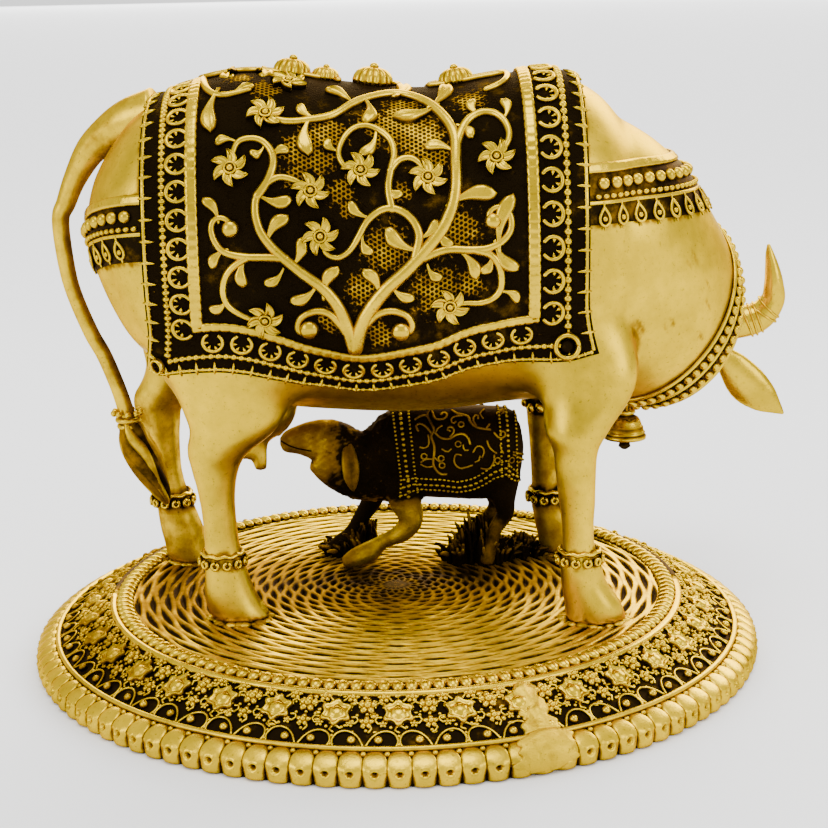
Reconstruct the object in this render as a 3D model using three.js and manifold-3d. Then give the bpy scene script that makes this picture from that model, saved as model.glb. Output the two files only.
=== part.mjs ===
// Kamdhenu: a cast brass cow under a carved saddle cloth, with her calf, on a round ornamented plinth.
// Millimetres, +Z up, origin at the centre of the plinth's underside, +X towards the cow's chest.
import * as THREE from 'three';
import { LoftGeometry } from 'three/addons/geometries/LoftGeometry.js';
import { mergeVertices } from 'three/addons/utils/BufferGeometryUtils.js';
import Module from 'manifold-3d';

const wasm = await Module();
wasm.setup();

// Plinth
const BASE_DIAMETER = 250;
const RIM_HEIGHT = 8.6;
const RIM_WIDTH = 8;
const PETAL_DEPTH = 2.4;
const PETAL_COUNT = 108;
const FRIEZE_WIDTH = 21;
const RING_HEIGHT = 19;
const RING_WIDTH = 4.2;
const FLOOR_DROP = 0.6;
const FLOWER_COUNT = 36;
const FLOWER_WIDTH = 9;
const FLOWER_HEIGHT = 1.8;

// Figures
const COW_HEIGHT = 176;
const CALF_HEIGHT = 57;
const CALF_PLACE = { x: 24, y: 26 };
const JOINT_GAP = 0.3;
const CLOTH_RAISE = 1.5;
const BORDER_RAISE = 1;
const BORDER_WIDTH = 17;
const STEM_WIDTH = 2.6;
const VINE_RAISE = 1.5;
const BLOSSOM_WIDTH = 12;
const ANKLET_BEAD = 3.6;
const NECKLACE_BEAD = 3.2;

const brass = (name, colour, roughness) => new THREE.MeshStandardMaterial({
  name,
  color: colour,
  roughness,
  metalness: 1,
});

const BASE_RADIUS = BASE_DIAMETER / 2;
const RIM_SHOULDER = RIM_HEIGHT * 0.68;
const FRIEZE_OUTER = BASE_RADIUS - RIM_WIDTH;
const RING_OUTER = FRIEZE_OUTER - FRIEZE_WIDTH;
const FLOOR_RADIUS = RING_OUTER - RING_WIDTH;
const FLOOR_HEIGHT = RING_HEIGHT - FLOOR_DROP;
const GROUND = FLOOR_HEIGHT + JOINT_GAP;

// Solid helpers

function solid(geometry) {
  const bare = new THREE.BufferGeometry();
  bare.setAttribute('position', geometry.getAttribute('position'));
  bare.setIndex(geometry.getIndex());
  const merged = mergeVertices(bare, 1e-4);
  const position = merged.getAttribute('position');
  const triangles = Array.from(merged.getIndex().array).reduce((rows, v, i) => {
    if (i % 3 === 0) rows.push([]);
    rows[rows.length - 1].push(v);
    return rows;
  }, []).filter(([a, b, c]) => a !== b && b !== c && c !== a);
  const corner = (v) => new THREE.Vector3().fromBufferAttribute(position, v);
  const volume = triangles.reduce((sum, [a, b, c]) => sum + corner(a).dot(corner(b).cross(corner(c))), 0);
  const outward = volume > 0 ? triangles : triangles.map(([a, b, c]) => [a, c, b]);
  return new wasm.Manifold(new wasm.Mesh({
    numProp: 3,
    vertProperties: new Float32Array(position.array),
    triVerts: new Uint32Array(outward.flat()),
  }));
}

function joined(parts) {
  return parts.reduce((whole, part) => whole.add(part));
}

function meshOf(manifold, name, material) {
  const { vertProperties, triVerts } = manifold.getMesh();
  const geometry = new THREE.BufferGeometry();
  geometry.setAttribute('position', new THREE.BufferAttribute(new Float32Array(vertProperties), 3));
  geometry.setIndex(new THREE.BufferAttribute(new Uint32Array(triVerts), 1));
  geometry.computeVertexNormals();
  const mesh = new THREE.Mesh(geometry, material);
  mesh.name = name;
  return mesh;
}

// A figure keeps its proportions as hundredths of its own height, from its own hooves.
function figureSpace(height, place) {
  const unit = height / 100;
  return (x, y, z) => new THREE.Vector3(place.x + x * unit, place.y + y * unit, GROUND + z * unit);
}

// Evenly spread values from the first to the last.
const spread = (count, first, last) => (
  Array.from({ length: count }, (_, i) => THREE.MathUtils.lerp(first, last, i / (count - 1))));

const signedPower = (value, power) => Math.sign(value) * Math.abs(value) ** power;

// An oval ring of points about a centre, from its two half axes.
function ring(centre, across, up, sides, turn = 0) {
  return Array.from({ length: sides }, (_, i) => {
    const angle = (i + turn) * 2 * Math.PI / sides;
    return centre.clone()
      .addScaledVector(across, Math.cos(angle))
      .addScaledVector(up, Math.sin(angle));
  });
}

// A closed limb through rows of [x, y, z, half width, half depth] in hundredths of its figure.
function limb(space, unit, rows, { sides = 10, steps = 12, level = false, upward = [0, 1, 0] } = {}) {
  const path = new THREE.CatmullRomCurve3(rows.map(([x, y, z]) => space(x, y, z)));
  const girths = rows.map(([, , , a, b = a]) => new THREE.Vector3(a, b, 0).multiplyScalar(unit));
  const girth = new THREE.CatmullRomCurve3(girths);
  const reference = new THREE.Vector3(...upward);
  const plumb = new THREE.Vector3(0, 0, Math.sign(path.getPoint(1).z - path.getPoint(0).z));
  const sections = Array.from({ length: steps + 1 }, (_, i) => {
    const t = i / steps;
    const along = level ? plumb : path.getTangent(t);
    const across = new THREE.Vector3().crossVectors(reference, along).normalize();
    const up = new THREE.Vector3().crossVectors(along, across).normalize();
    const { x: halfWidth, y: halfDepth } = girth.getPoint(t);
    const wide = across.multiplyScalar(halfWidth);
    return ring(path.getPoint(t), wide, up.multiplyScalar(halfDepth), sides, 0.5);
  });
  return solid(new LoftGeometry(sections, { capStart: true, capEnd: true }));
}

// A figure is cut flat where it stands.
function standing(figure) {
  const block = new THREE.BoxGeometry(BASE_DIAMETER * 2, BASE_DIAMETER * 2, BASE_DIAMETER);
  block.translate(0, 0, GROUND - BASE_DIAMETER / 2);
  return figure.subtract(solid(block));
}

// A ball, flattened or stretched, at a place.
function ball(place, radius, stretch = [1, 1, 1], segments = 8, rings = 6) {
  const shape = new THREE.SphereGeometry(radius, segments, rings);
  shape.scale(...stretch);
  shape.translate(place.x, place.y, place.z);
  return solid(shape);
}

// A round bar bent into a closed hoop, with two half axes and its beads as swellings.
function hoop(centre, across, up, barRadius, beads) {
  const normal = new THREE.Vector3().crossVectors(across, up).normalize();
  const count = beads * 2;
  const sections = Array.from({ length: count + 1 }, (_, i) => {
    const angle = (i % count) * 2 * Math.PI / count;
    const outward = across.clone().multiplyScalar(Math.cos(angle)).addScaledVector(up, Math.sin(angle));
    const bar = barRadius * (i % 2 === 0 ? 1 : 0.72);
    const out = outward.clone().normalize().multiplyScalar(bar);
    return ring(centre.clone().add(outward), out, normal.clone().multiplyScalar(bar), 4);
  });
  return solid(new LoftGeometry(sections));
}

// A smooth reading between rows of [position, value, value...] at any position between them.
function follow(rows, position) {
  const found = rows.findIndex(([start]) => start > position);
  const i = found < 0 ? rows.length - 2 : Math.max(found - 1, 0);
  const [before, from, to, after] = [i - 1, i, i + 1, i + 2]
    .map((row) => rows[Math.min(Math.max(row, 0), rows.length - 1)]);
  const span = to[0] - from[0];
  const t = (position - from[0]) / span;
  const slope = (a, b, k) => (b[k] - a[k]) / (b[0] - a[0]) * span;
  return from.slice(1).map((start, n) => {
    const k = n + 1;
    const leaving = slope(before === from ? from : before, to, k);
    const arriving = slope(from, after === to ? to : after, k);
    return (2 * t ** 3 - 3 * t ** 2 + 1) * start + (t ** 3 - 2 * t ** 2 + t) * leaving
      + (3 * t ** 2 - 2 * t ** 3) * to[k] + (t ** 3 - t ** 2) * arriving;
  });
}

// A barrel through rows of [x, top, bottom, half width] in hundredths of its figure.
function barrel(space, unit, rows, squareness) {
  const section = (x) => {
    const [top, bottom, halfWidth] = follow(rows, x);
    return {
      centre: space(x, 0, (top + bottom) / 2),
      halfWidth: halfWidth * unit,
      halfHeight: (top - bottom) / 2 * unit,
    };
  };
  const point = (x, angle, raise = 0) => {
    const { centre, halfWidth, halfHeight } = section(x);
    return centre.clone().add(new THREE.Vector3(
      0,
      (halfWidth + raise) * signedPower(Math.cos(angle), 2 / squareness),
      (halfHeight + raise) * signedPower(Math.sin(angle), 2 / squareness),
    ));
  };
  // The angle round the ring, from the +Y side upwards, at which the barrel is at this height.
  const angleAt = (x, height) => {
    const { centre, halfHeight } = section(x);
    const rise = THREE.MathUtils.clamp((space(0, 0, height).z - centre.z) / halfHeight, -1, 1);
    return Math.asin(signedPower(rise, squareness / 2));
  };
  const body = (sides) => {
    const sections = rows.map(([x]) => Array.from({ length: sides }, (_, i) => (
      point(x, (i + 0.5) * 2 * Math.PI / sides))));
    return solid(new LoftGeometry(sections, { capStart: true, capEnd: true }));
  };
  return { point, angleAt, body };
}

// Plinth

function lobedRing(radius, height, depth) {
  return Array.from({ length: PETAL_COUNT * 2 }, (_, i) => {
    const angle = i * Math.PI / PETAL_COUNT;
    const out = radius - (i % 2) * depth;
    return new THREE.Vector3(out * Math.cos(angle), out * Math.sin(angle), height);
  });
}

function petalRim() {
  return solid(new LoftGeometry([
    lobedRing(BASE_RADIUS, 0, PETAL_DEPTH / 2),
    lobedRing(BASE_RADIUS - 0.6, RIM_SHOULDER, PETAL_DEPTH / 2),
  ], { capStart: true, capEnd: true }));
}

// The dished body of the plinth: a smooth edge ring, the sloping frieze, the beaded ring and the floor.
function plinthBody() {
  const profile = [
    [0, 0.5],
    [BASE_RADIUS - PETAL_DEPTH, 0.5],
    [BASE_RADIUS - PETAL_DEPTH, RIM_SHOULDER + 0.2],
    [FRIEZE_OUTER + 1.2, RIM_HEIGHT + 0.8],
    [FRIEZE_OUTER - 0.8, RIM_HEIGHT + 0.2],
    [RING_OUTER + 0.6, RING_HEIGHT - 0.6],
    [RING_OUTER - RING_WIDTH * 0.3, RING_HEIGHT + RING_WIDTH * 0.4],
    [FLOOR_RADIUS + RING_WIDTH * 0.2, RING_HEIGHT + RING_WIDTH * 0.4],
    [FLOOR_RADIUS, FLOOR_HEIGHT],
    [0, FLOOR_HEIGHT],
  ];
  const turned = new THREE.LatheGeometry(profile.map(([r, z]) => new THREE.Vector2(r, z)), 54);
  turned.rotateX(Math.PI / 2);
  return solid(turned);
}

// A place on the sloping frieze: the share of the way in from the rim, and the angle round it.
function onFrieze(share, angle) {
  const radius = THREE.MathUtils.lerp(FRIEZE_OUTER - 0.8, RING_OUTER + 0.6, share);
  const height = THREE.MathUtils.lerp(RIM_HEIGHT + 0.2, RING_HEIGHT - 0.6, share);
  return new THREE.Vector3(radius * Math.cos(angle), radius * Math.sin(angle), height);
}

function friezeNormal(angle) {
  const run = FRIEZE_OUTER - RING_OUTER - 1.4;
  const rise = RING_HEIGHT - RIM_HEIGHT - 0.8;
  return new THREE.Vector3(rise * Math.cos(angle), rise * Math.sin(angle), run).normalize();
}

// A six-sided flower boss standing on the frieze.
function friezeFlower(angle) {
  const normal = friezeNormal(angle);
  const across = new THREE.Vector3(-Math.sin(angle), Math.cos(angle), 0);
  const up = new THREE.Vector3().crossVectors(normal, across);
  const star = new THREE.ConeGeometry(FLOWER_WIDTH * 0.62, FLOWER_HEIGHT * 1.5, 6);
  star.applyMatrix4(new THREE.Matrix4().makeBasis(across, normal, up.negate()));
  const { x, y, z } = onFrieze(0.56, angle).addScaledVector(normal, FLOWER_HEIGHT * 0.25);
  star.translate(x, y, z);
  return solid(star);
}

function makeBase() {
  const flowers = Array.from({ length: FLOWER_COUNT }, (_, i) => (
    friezeFlower((i + 0.5) * 2 * Math.PI / FLOWER_COUNT)));
  return joined([plinthBody(), petalRim(), ...flowers]);
}

// Cow. Rows are in hundredths of the cow's height: x forward, y to the far side, z up from the hooves.
const COW_UNIT = COW_HEIGHT / 100;
const cowSpace = figureSpace(COW_HEIGHT, { x: 0, y: 0 });

const TORSO_ROWS = [
  [-56.5, 75, 72, 1.5],
  [-54.5, 82, 64, 12],
  [-49.5, 90, 53, 20],
  [-45, 94.5, 48, 23],
  [-39, 97.2, 44.8, 24.6],
  [-25.5, 100, 39, 25.5],
  [-8.5, 98, 36.8, 25.5],
  [7, 96.5, 36.4, 25.5],
  [21.5, 98.5, 37.8, 25.5],
  [30.5, 99.5, 38.6, 24.6],
  [36.5, 97.5, 41, 22.8],
  [42, 93, 44, 19.5],
  [48, 82.5, 52.5, 12.5],
  [50, 70, 67, 1.5],
];

const NECK_ROWS = [
  [26, 0, 70, 23, 26.5],
  [37, 1, 66, 21, 25],
  [46, 5, 58.5, 19.5, 22.5],
  [53.5, 12, 51.5, 17, 19],
  [57.5, 20, 48.5, 12.5, 14.5],
  [59, 28, 48, 10.5, 12],
];

const LEG_ROWS = {
  nearHind: [
    [-33, -11.5, 60, 13, 8],
    [-30.6, -15.5, 47.5, 13.4, 8],
    [-29.1, -16, 40, 10.2, 6.8],
    [-29.3, -16.3, 36.5, 8.1, 6],
    [-32, -16.5, 33, 6, 5.2],
    [-33, -16.5, 30, 4.5, 4.4],
    [-33, -16.5, 24, 3.2, 3.7],
    [-32.6, -16.5, 17.3, 3, 3.3],
    [-32.3, -16.5, 12.8, 3.3, 3.4],
    [-31.8, -16.5, 8.2, 4, 3.8],
    [-31.2, -16.5, 4.3, 4.8, 4.2],
    [-29.3, -16.5, 0, 5.7, 4.4],
  ],
  nearFore: [
    [33.5, -11.5, 63, 8, 7],
    [35.1, -17, 48.5, 10.1, 7.4],
    [35.2, -19.3, 41, 8.2, 6.6],
    [33.8, -20.5, 36.5, 6.2, 5.6],
    [33.5, -21.2, 32.7, 4, 4.4],
    [33.5, -21.5, 27.5, 3.5, 4],
    [33.8, -21.6, 21.3, 3.05, 3.3],
    [34, -21.6, 15, 2.75, 3],
    [34.5, -21.6, 11, 3.6, 3.6],
    [35, -21.6, 7.1, 4.1, 3.9],
    [36.8, -21.6, 3.1, 5.2, 4.4],
    [37.3, -21.6, 0, 5.7, 4.6],
  ],
  farHind: [
    [-36, 11.5, 60, 13, 8],
    [-38.5, 16.5, 47.5, 13, 8],
    [-42, 18, 41, 9, 6.8],
    [-46, 19.3, 36.5, 6.5, 5.6],
    [-48, 20, 33, 4.8, 4.7],
    [-47.7, 20, 28.7, 3.8, 4],
    [-47.2, 20, 23, 3.1, 3.4],
    [-46.7, 20, 17.3, 3, 3.2],
    [-45.5, 20, 11.6, 3.7, 3.6],
    [-44.6, 20, 7.7, 4.2, 3.9],
    [-43.5, 20, 3.7, 4.5, 4.2],
    [-42, 20, 0, 5.4, 4.4],
  ],
  farFore: [
    [33, 11.5, 62, 11, 8],
    [33.5, 16, 48.5, 10.8, 7.5],
    [32.7, 18.7, 40, 7.4, 6.2],
    [31.8, 20, 33.2, 4.3, 4.7],
    [31.7, 20.5, 27.5, 3.5, 4],
    [31.7, 20.5, 21.3, 3.05, 3.3],
    [31.8, 20.5, 15, 2.8, 3],
    [32.4, 20.5, 11, 3.5, 3.5],
    [33.5, 20.5, 7.1, 4.1, 3.9],
    [35.2, 20.5, 3.1, 5, 4.3],
    [36, 20.5, 0, 5.5, 4.5],
  ],
};

const TAIL_ROWS = [
  [-42.5, 0, 93.5, 5],
  [-47.5, 0.8, 92.2, 4.4],
  [-51.5, 1.8, 90.2, 3.7],
  [-55.8, 2.6, 86.8, 2.9],
  [-59.2, 3.2, 81.5, 2.2],
  [-61.2, 3.4, 77, 1.9],
  [-62.5, 3.4, 73.6, 1.7],
  [-62, 3.4, 65.6, 1.6],
  [-60.8, 3.4, 59.4, 1.5],
  [-58, 3.4, 51.7, 1.5],
  [-55.7, 3.4, 47, 1.5],
  [-53.4, 3.4, 40.6, 1.5],
  [-52, 3.4, 35.5, 1.6],
  [-51, 3.4, 32, 2.5],
  [-50, 3.4, 28.7, 3.4],
  [-48, 3.4, 24, 3.3],
  [-46, 3.4, 19, 2.2],
  [-45.2, 3.4, 17, 0.6],
];

// The head looks away to +Y with its nose lowered: rows run from the poll to the muzzle.
const HEAD_ROWS = [
  [59, 22, 54, 8.5, 10],
  [59, 26, 52, 10.3, 10.8],
  [59, 31.5, 48.5, 10.8, 10.4],
  [59, 37, 44.8, 9.2, 9],
  [59, 43, 40.6, 7, 7.2],
  [59, 48, 37.2, 6.6, 6.2],
  [59, 52, 34.6, 6.2, 5.2],
  [59, 54, 33.4, 3.6, 3],
];

// Half of the crown as offsets from the head's middle plane, to be mirrored for the other half.
const HEAD_MIDDLE = 59;
const HORN_ROWS = [
  [6, 26, 46, 3.2],
  [12, 25.5, 46.6, 3.4],
  [17, 25, 47.8, 3.1],
  [19.8, 24.5, 51.2, 2.5],
  [19.9, 24, 54.8, 2],
  [19.5, 24, 58, 1.5],
  [18.9, 24, 61, 0.9],
  [18.6, 24, 63, 0.3],
];
const EAR_ROWS = [
  [6, 30, 43.5, 1.3, 1.17],
  [10, 30, 40, 1.6, 1.12],
  [13, 30, 36.6, 3.2, 1.44],
  [16.2, 30, 32.6, 4.1, 1.48],
  [19.8, 30, 29.4, 3.2, 1.15],
  [22.4, 30, 27.3, 1.5, 0.6],
  [24, 30, 26, 0.3, 0.18],
];

const torso = barrel(cowSpace, COW_UNIT, TORSO_ROWS, 2.2);

const mirrored = (rows, side) => rows.map(([x, ...rest]) => [HEAD_MIDDLE + side * x, ...rest]);

function cowHead() {
  const skull = limb(cowSpace, COW_UNIT, HEAD_ROWS, { sides: 12, steps: 10, upward: [0, 0, 1] });
  const crown = [1, -1].flatMap((side) => [
    limb(cowSpace, COW_UNIT, mirrored(HORN_ROWS, side), { sides: 6, steps: 8 }),
    limb(cowSpace, COW_UNIT, mirrored(EAR_ROWS, side), { sides: 6, steps: 5 }),
    ball(cowSpace(HEAD_MIDDLE + side * 9.6, 34.5, 48.5), 2.2 * COW_UNIT, [1, 1, 1], 6, 4),
  ]);
  return joined([skull, ...crown]);
}

function udder() {
  const bag = ball(cowSpace(-25.6, 4, 36.5), 7.2 * COW_UNIT, [1, 1, 1], 10, 6);
  const teat = (x, y, top, bottom) => limb(cowSpace, COW_UNIT, [
    [x, y, top, 1.5],
    [x, y, (top + bottom) / 2, 1.4],
    [x, y, bottom, 1],
  ], { sides: 5, steps: 3 });
  return joined([bag, teat(-26, 1.5, 31.5, 23.2), teat(-29.4, 1, 32, 25.8), teat(-29.5, 7, 31.5, 25)]);
}

// The saddle cloth: a sheet over the back, thicker along its two end borders and its hems.
const CLOTH_REAR = -43.3;
const CLOTH_FRONT = 35.4;
const HEM_LEVEL = 48.6;
const HEM_SAG = 4.4;
const HEM_BORDER = 7;
const hemHeight = (x) => HEM_LEVEL - HEM_SAG * Math.exp(-(((x + 5) / 14) ** 2));

function saddleCloth() {
  const border = BORDER_WIDTH / COW_UNIT;
  const arc = 6;
  const section = (x, raise) => {
    const hem = torso.angleAt(x, hemHeight(x));
    const top = torso.angleAt(x, hemHeight(x) + HEM_BORDER);
    const crest = Math.PI / 2;
    const side = [
      [hem, -1],
      [hem, CLOTH_RAISE + BORDER_RAISE],
      [(hem + top) / 2, CLOTH_RAISE + BORDER_RAISE],
      [top, CLOTH_RAISE + BORDER_RAISE],
      ...spread(arc, top + 0.01, crest).map((angle) => [angle, raise]),
    ];
    const outer = [...side, ...side.slice(0, -1).reverse().map(([angle, lift]) => [Math.PI - angle, lift])];
    const inner = spread(7, Math.PI - hem, hem).slice(1, -1).map((angle) => [angle, -2]);
    return [...outer, ...inner].map(([angle, lift]) => torso.point(x, angle, lift));
  };
  const middle = spread(7, CLOTH_REAR + border + 0.05, CLOTH_FRONT - border - 0.05);
  const raised = CLOTH_RAISE + BORDER_RAISE;
  return solid(new LoftGeometry([
    section(CLOTH_REAR, raised),
    section(CLOTH_REAR + border / 2, raised),
    section(CLOTH_REAR + border, raised),
    ...middle.map((x) => section(x, CLOTH_RAISE)),
    section(CLOTH_FRONT - border, raised),
    section(CLOTH_FRONT - border / 2, raised),
    section(CLOTH_FRONT, raised),
  ], { capStart: true, capEnd: true }));
}

// The vine on both flanks of the cloth: stems as [x, height] in hundredths, tapering to their curls.
const VINE_STEMS = [
  [[-7, 52], [-12.5, 62], [-20, 68], [-24.5, 77], [-20, 82], [-15, 79.5]],
  [[-6.5, 52], [-3.5, 59], [2, 65], [9, 73], [11.5, 83], [9.5, 92], [4, 95]],
  [[-21, 68], [-28.5, 68], [-32.5, 73.5], [-29, 74]],
  [[-22.5, 81], [-21.5, 85.5], [-24, 88.5], [-28, 88], [-29, 83.5]],
  [[2, 65], [5, 72], [0, 76.5], [-6, 71.5], [-13, 71.5]],
  [[0, 77], [-0.5, 84], [-3, 90], [-9, 88], [-6, 83]],
  [[12, 87], [16.5, 93], [21, 90], [19, 85.5]],
  [[6, 67.5], [14, 69], [21.5, 72.5], [18.5, 76.5]],
  [[-27, 67], [-30.5, 62], [-25.5, 57], [-23, 56.5]],
  [[16, 69], [19.5, 63.5], [16, 59.5], [10.5, 59]],
];
const VINE_BLOSSOMS = [
  [-29, 83.5], [-15, 79.5], [-23, 93], [-6, 83], [-13, 71.5],
  [6.5, 82], [19, 85.5], [-23, 56.5], [10.5, 59],
];

function saddleVine() {
  const onCloth = (x, height, side, lift) => {
    const angle = torso.angleAt(x, height);
    return torso.point(x, side > 0 ? angle : Math.PI - angle, CLOTH_RAISE + lift);
  };
  const outwardAt = (x, height, side) => (
    onCloth(x, height, side, 10).sub(onCloth(x, height, side, 0)).normalize());
  const stem = (points, side) => {
    const path = new THREE.CatmullRomCurve3(points.map(([x, height]) => new THREE.Vector3(x, height, 0)));
    const steps = points.length + 1;
    const sections = Array.from({ length: steps + 1 }, (_, i) => {
      const { x, y: height } = path.getPoint(i / steps);
      const turn = path.getTangent(i / steps);
      const outward = outwardAt(x, height, side);
      const ahead = onCloth(x + turn.x, height + turn.y, side, 0);
      const along = ahead.sub(onCloth(x, height, side, 0)).normalize();
      const sideways = new THREE.Vector3().crossVectors(along, outward).normalize();
      const half = STEM_WIDTH * (0.75 - 0.3 * i / steps);
      const middle = onCloth(x, height, side, 0);
      return [[0, VINE_RAISE], [half, -0.9], [-half, -0.9]].map(([across, lift]) => (
        middle.clone().addScaledVector(sideways, across).addScaledVector(outward, lift)));
    });
    return solid(new LoftGeometry(sections, { capStart: true, capEnd: true }));
  };
  const blossom = ([x, height], side) => {
    const outward = outwardAt(x, height, side);
    const star = new THREE.ConeGeometry(BLOSSOM_WIDTH / 2, VINE_RAISE * 2.4, 6);
    star.applyQuaternion(new THREE.Quaternion().setFromUnitVectors(new THREE.Vector3(0, 1, 0), outward));
    const place = onCloth(x, height, side, VINE_RAISE * 0.5);
    star.translate(place.x, place.y, place.z);
    return solid(star);
  };
  return joined([1, -1].flatMap((side) => [
    ...VINE_STEMS.map((points) => stem(points, side)),
    ...VINE_BLOSSOMS.map((place) => blossom(place, side)),
  ]));
}

// A beaded band round a leg.
function anklet([x, y, z], radius) {
  const across = new THREE.Vector3(radius * COW_UNIT, 0, 0);
  return hoop(cowSpace(x, y, z), across, new THREE.Vector3(0, radius * COW_UNIT, 0), ANKLET_BEAD / 2, 6);
}

function necklace(share) {
  const [x, y, z, halfWidth, halfHeight] = follow(NECK_ROWS.map((row, i) => [i, ...row]), share);
  const [nextX, nextY, nextZ] = follow(NECK_ROWS.map((row, i) => [i, ...row]), share + 0.05);
  const along = new THREE.Vector3(nextX - x, nextY - y, nextZ - z).normalize();
  const across = new THREE.Vector3().crossVectors(new THREE.Vector3(0, 0, 1), along).normalize();
  const up = new THREE.Vector3().crossVectors(along, across);
  return hoop(cowSpace(x, y, z), across.multiplyScalar(halfWidth * COW_UNIT),
    up.multiplyScalar(halfHeight * COW_UNIT), NECKLACE_BEAD / 2, 10);
}

function neckBell() {
  const profile = [
    [0, -2.6], [2, -2.4], [2.4, 0.2], [6.4, 0.4],
    [4.6, 5.8], [2.4, 7], [2.2, 14.6], [0, 15],
  ];
  const turned = new THREE.LatheGeometry(profile.map(([r, z]) => new THREE.Vector2(r, z)), 8);
  turned.rotateX(Math.PI / 2);
  const place = cowSpace(46, 5, 28.5);
  turned.translate(place.x, place.y, place.z);
  return solid(turned);
}

function makeCow() {
  const legs = Object.values(LEG_ROWS).map((rows) => (
    limb(cowSpace, COW_UNIT, rows, { sides: 8, steps: 10, level: true })));
  const tail = limb(cowSpace, COW_UNIT, TAIL_ROWS, { sides: 6, steps: 20 });
  const neck = limb(cowSpace, COW_UNIT, NECK_ROWS, { sides: 16, steps: 8, upward: [0, 0, 1] });
  return standing(joined([
    torso.body(20),
    neck,
    cowHead(),
    ...legs,
    tail,
    udder(),
    saddleCloth(),
    saddleVine(),
    anklet([-32.4, -16.5, 12], 3.7),
    anklet([34.2, -21.6, 12.6], 3.6),
    anklet([-46, 20, 13.6], 3.8),
    anklet([32.1, 20.5, 12.4], 3.6),
    necklace(2.72),
    necklace(3.02),
    neckBell(),
  ]));
}

// Calf. Rows are in hundredths of the calf's height.
const CALF_UNIT = CALF_HEIGHT / 100;
const calfSpace = figureSpace(CALF_HEIGHT, CALF_PLACE);

const CALF_BODY_ROWS = [
  [-57, 88, 68, 10],
  [-47, 97.5, 54, 17],
  [-31.5, 100.5, 45, 21.5],
  [-7, 100, 42, 22.5],
  [17.5, 99, 41, 21.5],
  [31.5, 96.5, 44.5, 17.5],
  [38.5, 88, 58, 9.5],
  [40.5, 76, 72, 1.8],
];

const CALF_HEAD_ROWS = [
  [-68, -4.4, 74, 11, 14],
  [-80, -5.3, 80, 12, 15],
  [-91, -7, 83, 10, 12.5],
  [-101, -8.8, 83.5, 7.5, 9],
  [-109, -10.5, 82.4, 6.2, 6.2],
  [-112, -10.5, 82, 3, 3],
];

const CALF_NECK_ROWS = [
  [-34, 0, 70, 16, 27],
  [-50, -1, 65.5, 15, 25],
  [-62, -2.6, 64.5, 13.5, 22],
  [-74, -4.4, 69, 12.5, 19.5],
  [-86, -6, 77.5, 11, 15.5],
];

const CALF_LEG_ROWS = {
  nearFore: [
    [-37, -10.5, 57, 12, 8],
    [-37, -10.5, 42, 9.5, 8],
    [-32.5, -10.5, 24, 7, 6.5],
    [-36, -10.5, 16.5, 6, 6],
    [-46, -10.5, 11, 4.8, 5],
    [-58, -10.5, 6.5, 5, 5.5],
    [-66, -10.5, 5.5, 3.5, 5.5],
  ],
  farFore: [
    [-44, 9, 66, 9, 7],
    [-56, 19, 36, 6.5, 6],
    [-63, 21, 24, 5, 5],
    [-70, 21, 13, 4.5, 4.5],
    [-78, 21, 5, 6, 5],
    [-80, 21, 0.5, 5, 5],
  ],
  nearHind: [
    [26, -7, 57, 12, 9],
    [27, -8.8, 43, 7.5, 7],
    [28, -8.8, 32.5, 5, 5.5],
    [22, -8.8, 23.5, 4.2, 4.5],
    [19, -8.8, 13, 4, 4],
    [16, -8.8, 4, 5.2, 5.2],
    [15, -8.8, 0.5, 5.4, 5.2],
  ],
  farHind: [
    [22, 7, 57, 12, 9],
    [23, 10, 43, 7.5, 7],
    [24, 11.5, 32.5, 5, 5.5],
    [18, 12, 23.5, 4.2, 4.5],
    [14, 12, 13, 4, 4],
    [10, 12, 4, 5.2, 5.2],
    [9, 12, 0.5, 5.4, 5.2],
  ],
};

const calfBody = barrel(calfSpace, CALF_UNIT, CALF_BODY_ROWS, 2.1);

function calfCloth() {
  const section = (x) => {
    const outer = spread(9, -0.45, Math.PI + 0.45)
      .map((angle) => calfBody.point(x, angle, CLOTH_RAISE * 0.7));
    const inner = spread(4, Math.PI - 0.2, 0.2).map((angle) => calfBody.point(x, angle, -1.5));
    return [...outer, ...inner];
  };
  return solid(new LoftGeometry(spread(6, -43, 33).map(section), { capStart: true, capEnd: true }));
}

function makeCalf() {
  const legs = Object.values(CALF_LEG_ROWS).map((rows) => (
    limb(calfSpace, CALF_UNIT, rows, { sides: 6, steps: 8 })));
  const ears = [1, -1].map((side) => limb(calfSpace, CALF_UNIT, [
    [-70, -4 + side * 9, 82, 2.4, 2],
    [-69, -4 + side * 15, 74, 4.5, 2.4],
    [-68, -4 + side * 17, 63, 4.2, 2.2],
    [-67, -4 + side * 17, 55, 1, 0.8],
  ], { sides: 5, steps: 4 }));
  const grass = [[-74, 22], [12, 2]].map(([x, y]) => (
    ball(calfSpace(x, y, 4.4), 9 * CALF_UNIT, [1.2, 1, 0.48], 8, 5)));
  return standing(joined([
    calfBody.body(12),
    limb(calfSpace, CALF_UNIT, CALF_NECK_ROWS, { sides: 8, steps: 4, upward: [0, 0, 1] }),
    limb(calfSpace, CALF_UNIT, CALF_HEAD_ROWS, { sides: 8, steps: 6, upward: [0, 0, 1] }),
    ...legs,
    ...ears,
    ...grass,
    calfCloth(),
  ]));
}

const statue = new THREE.Group();
statue.add(
  meshOf(makeBase(), 'base', brass('antique_brass_plinth', 0xb98f2c, 0.42)),
  meshOf(makeCow(), 'cow', brass('antique_brass_cow', 0xc9a032, 0.34)),
  meshOf(makeCalf(), 'calf', brass('antique_brass_calf', 0x8f6f24, 0.42)),
);

export default statue;
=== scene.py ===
"""Cast brass cow with her calf on a round plinth: the looks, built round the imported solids."""

import math

import bpy
import numpy as np
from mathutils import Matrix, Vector
from mathutils.bvhtree import BVHTree
from mathutils.kdtree import KDTree


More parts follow.
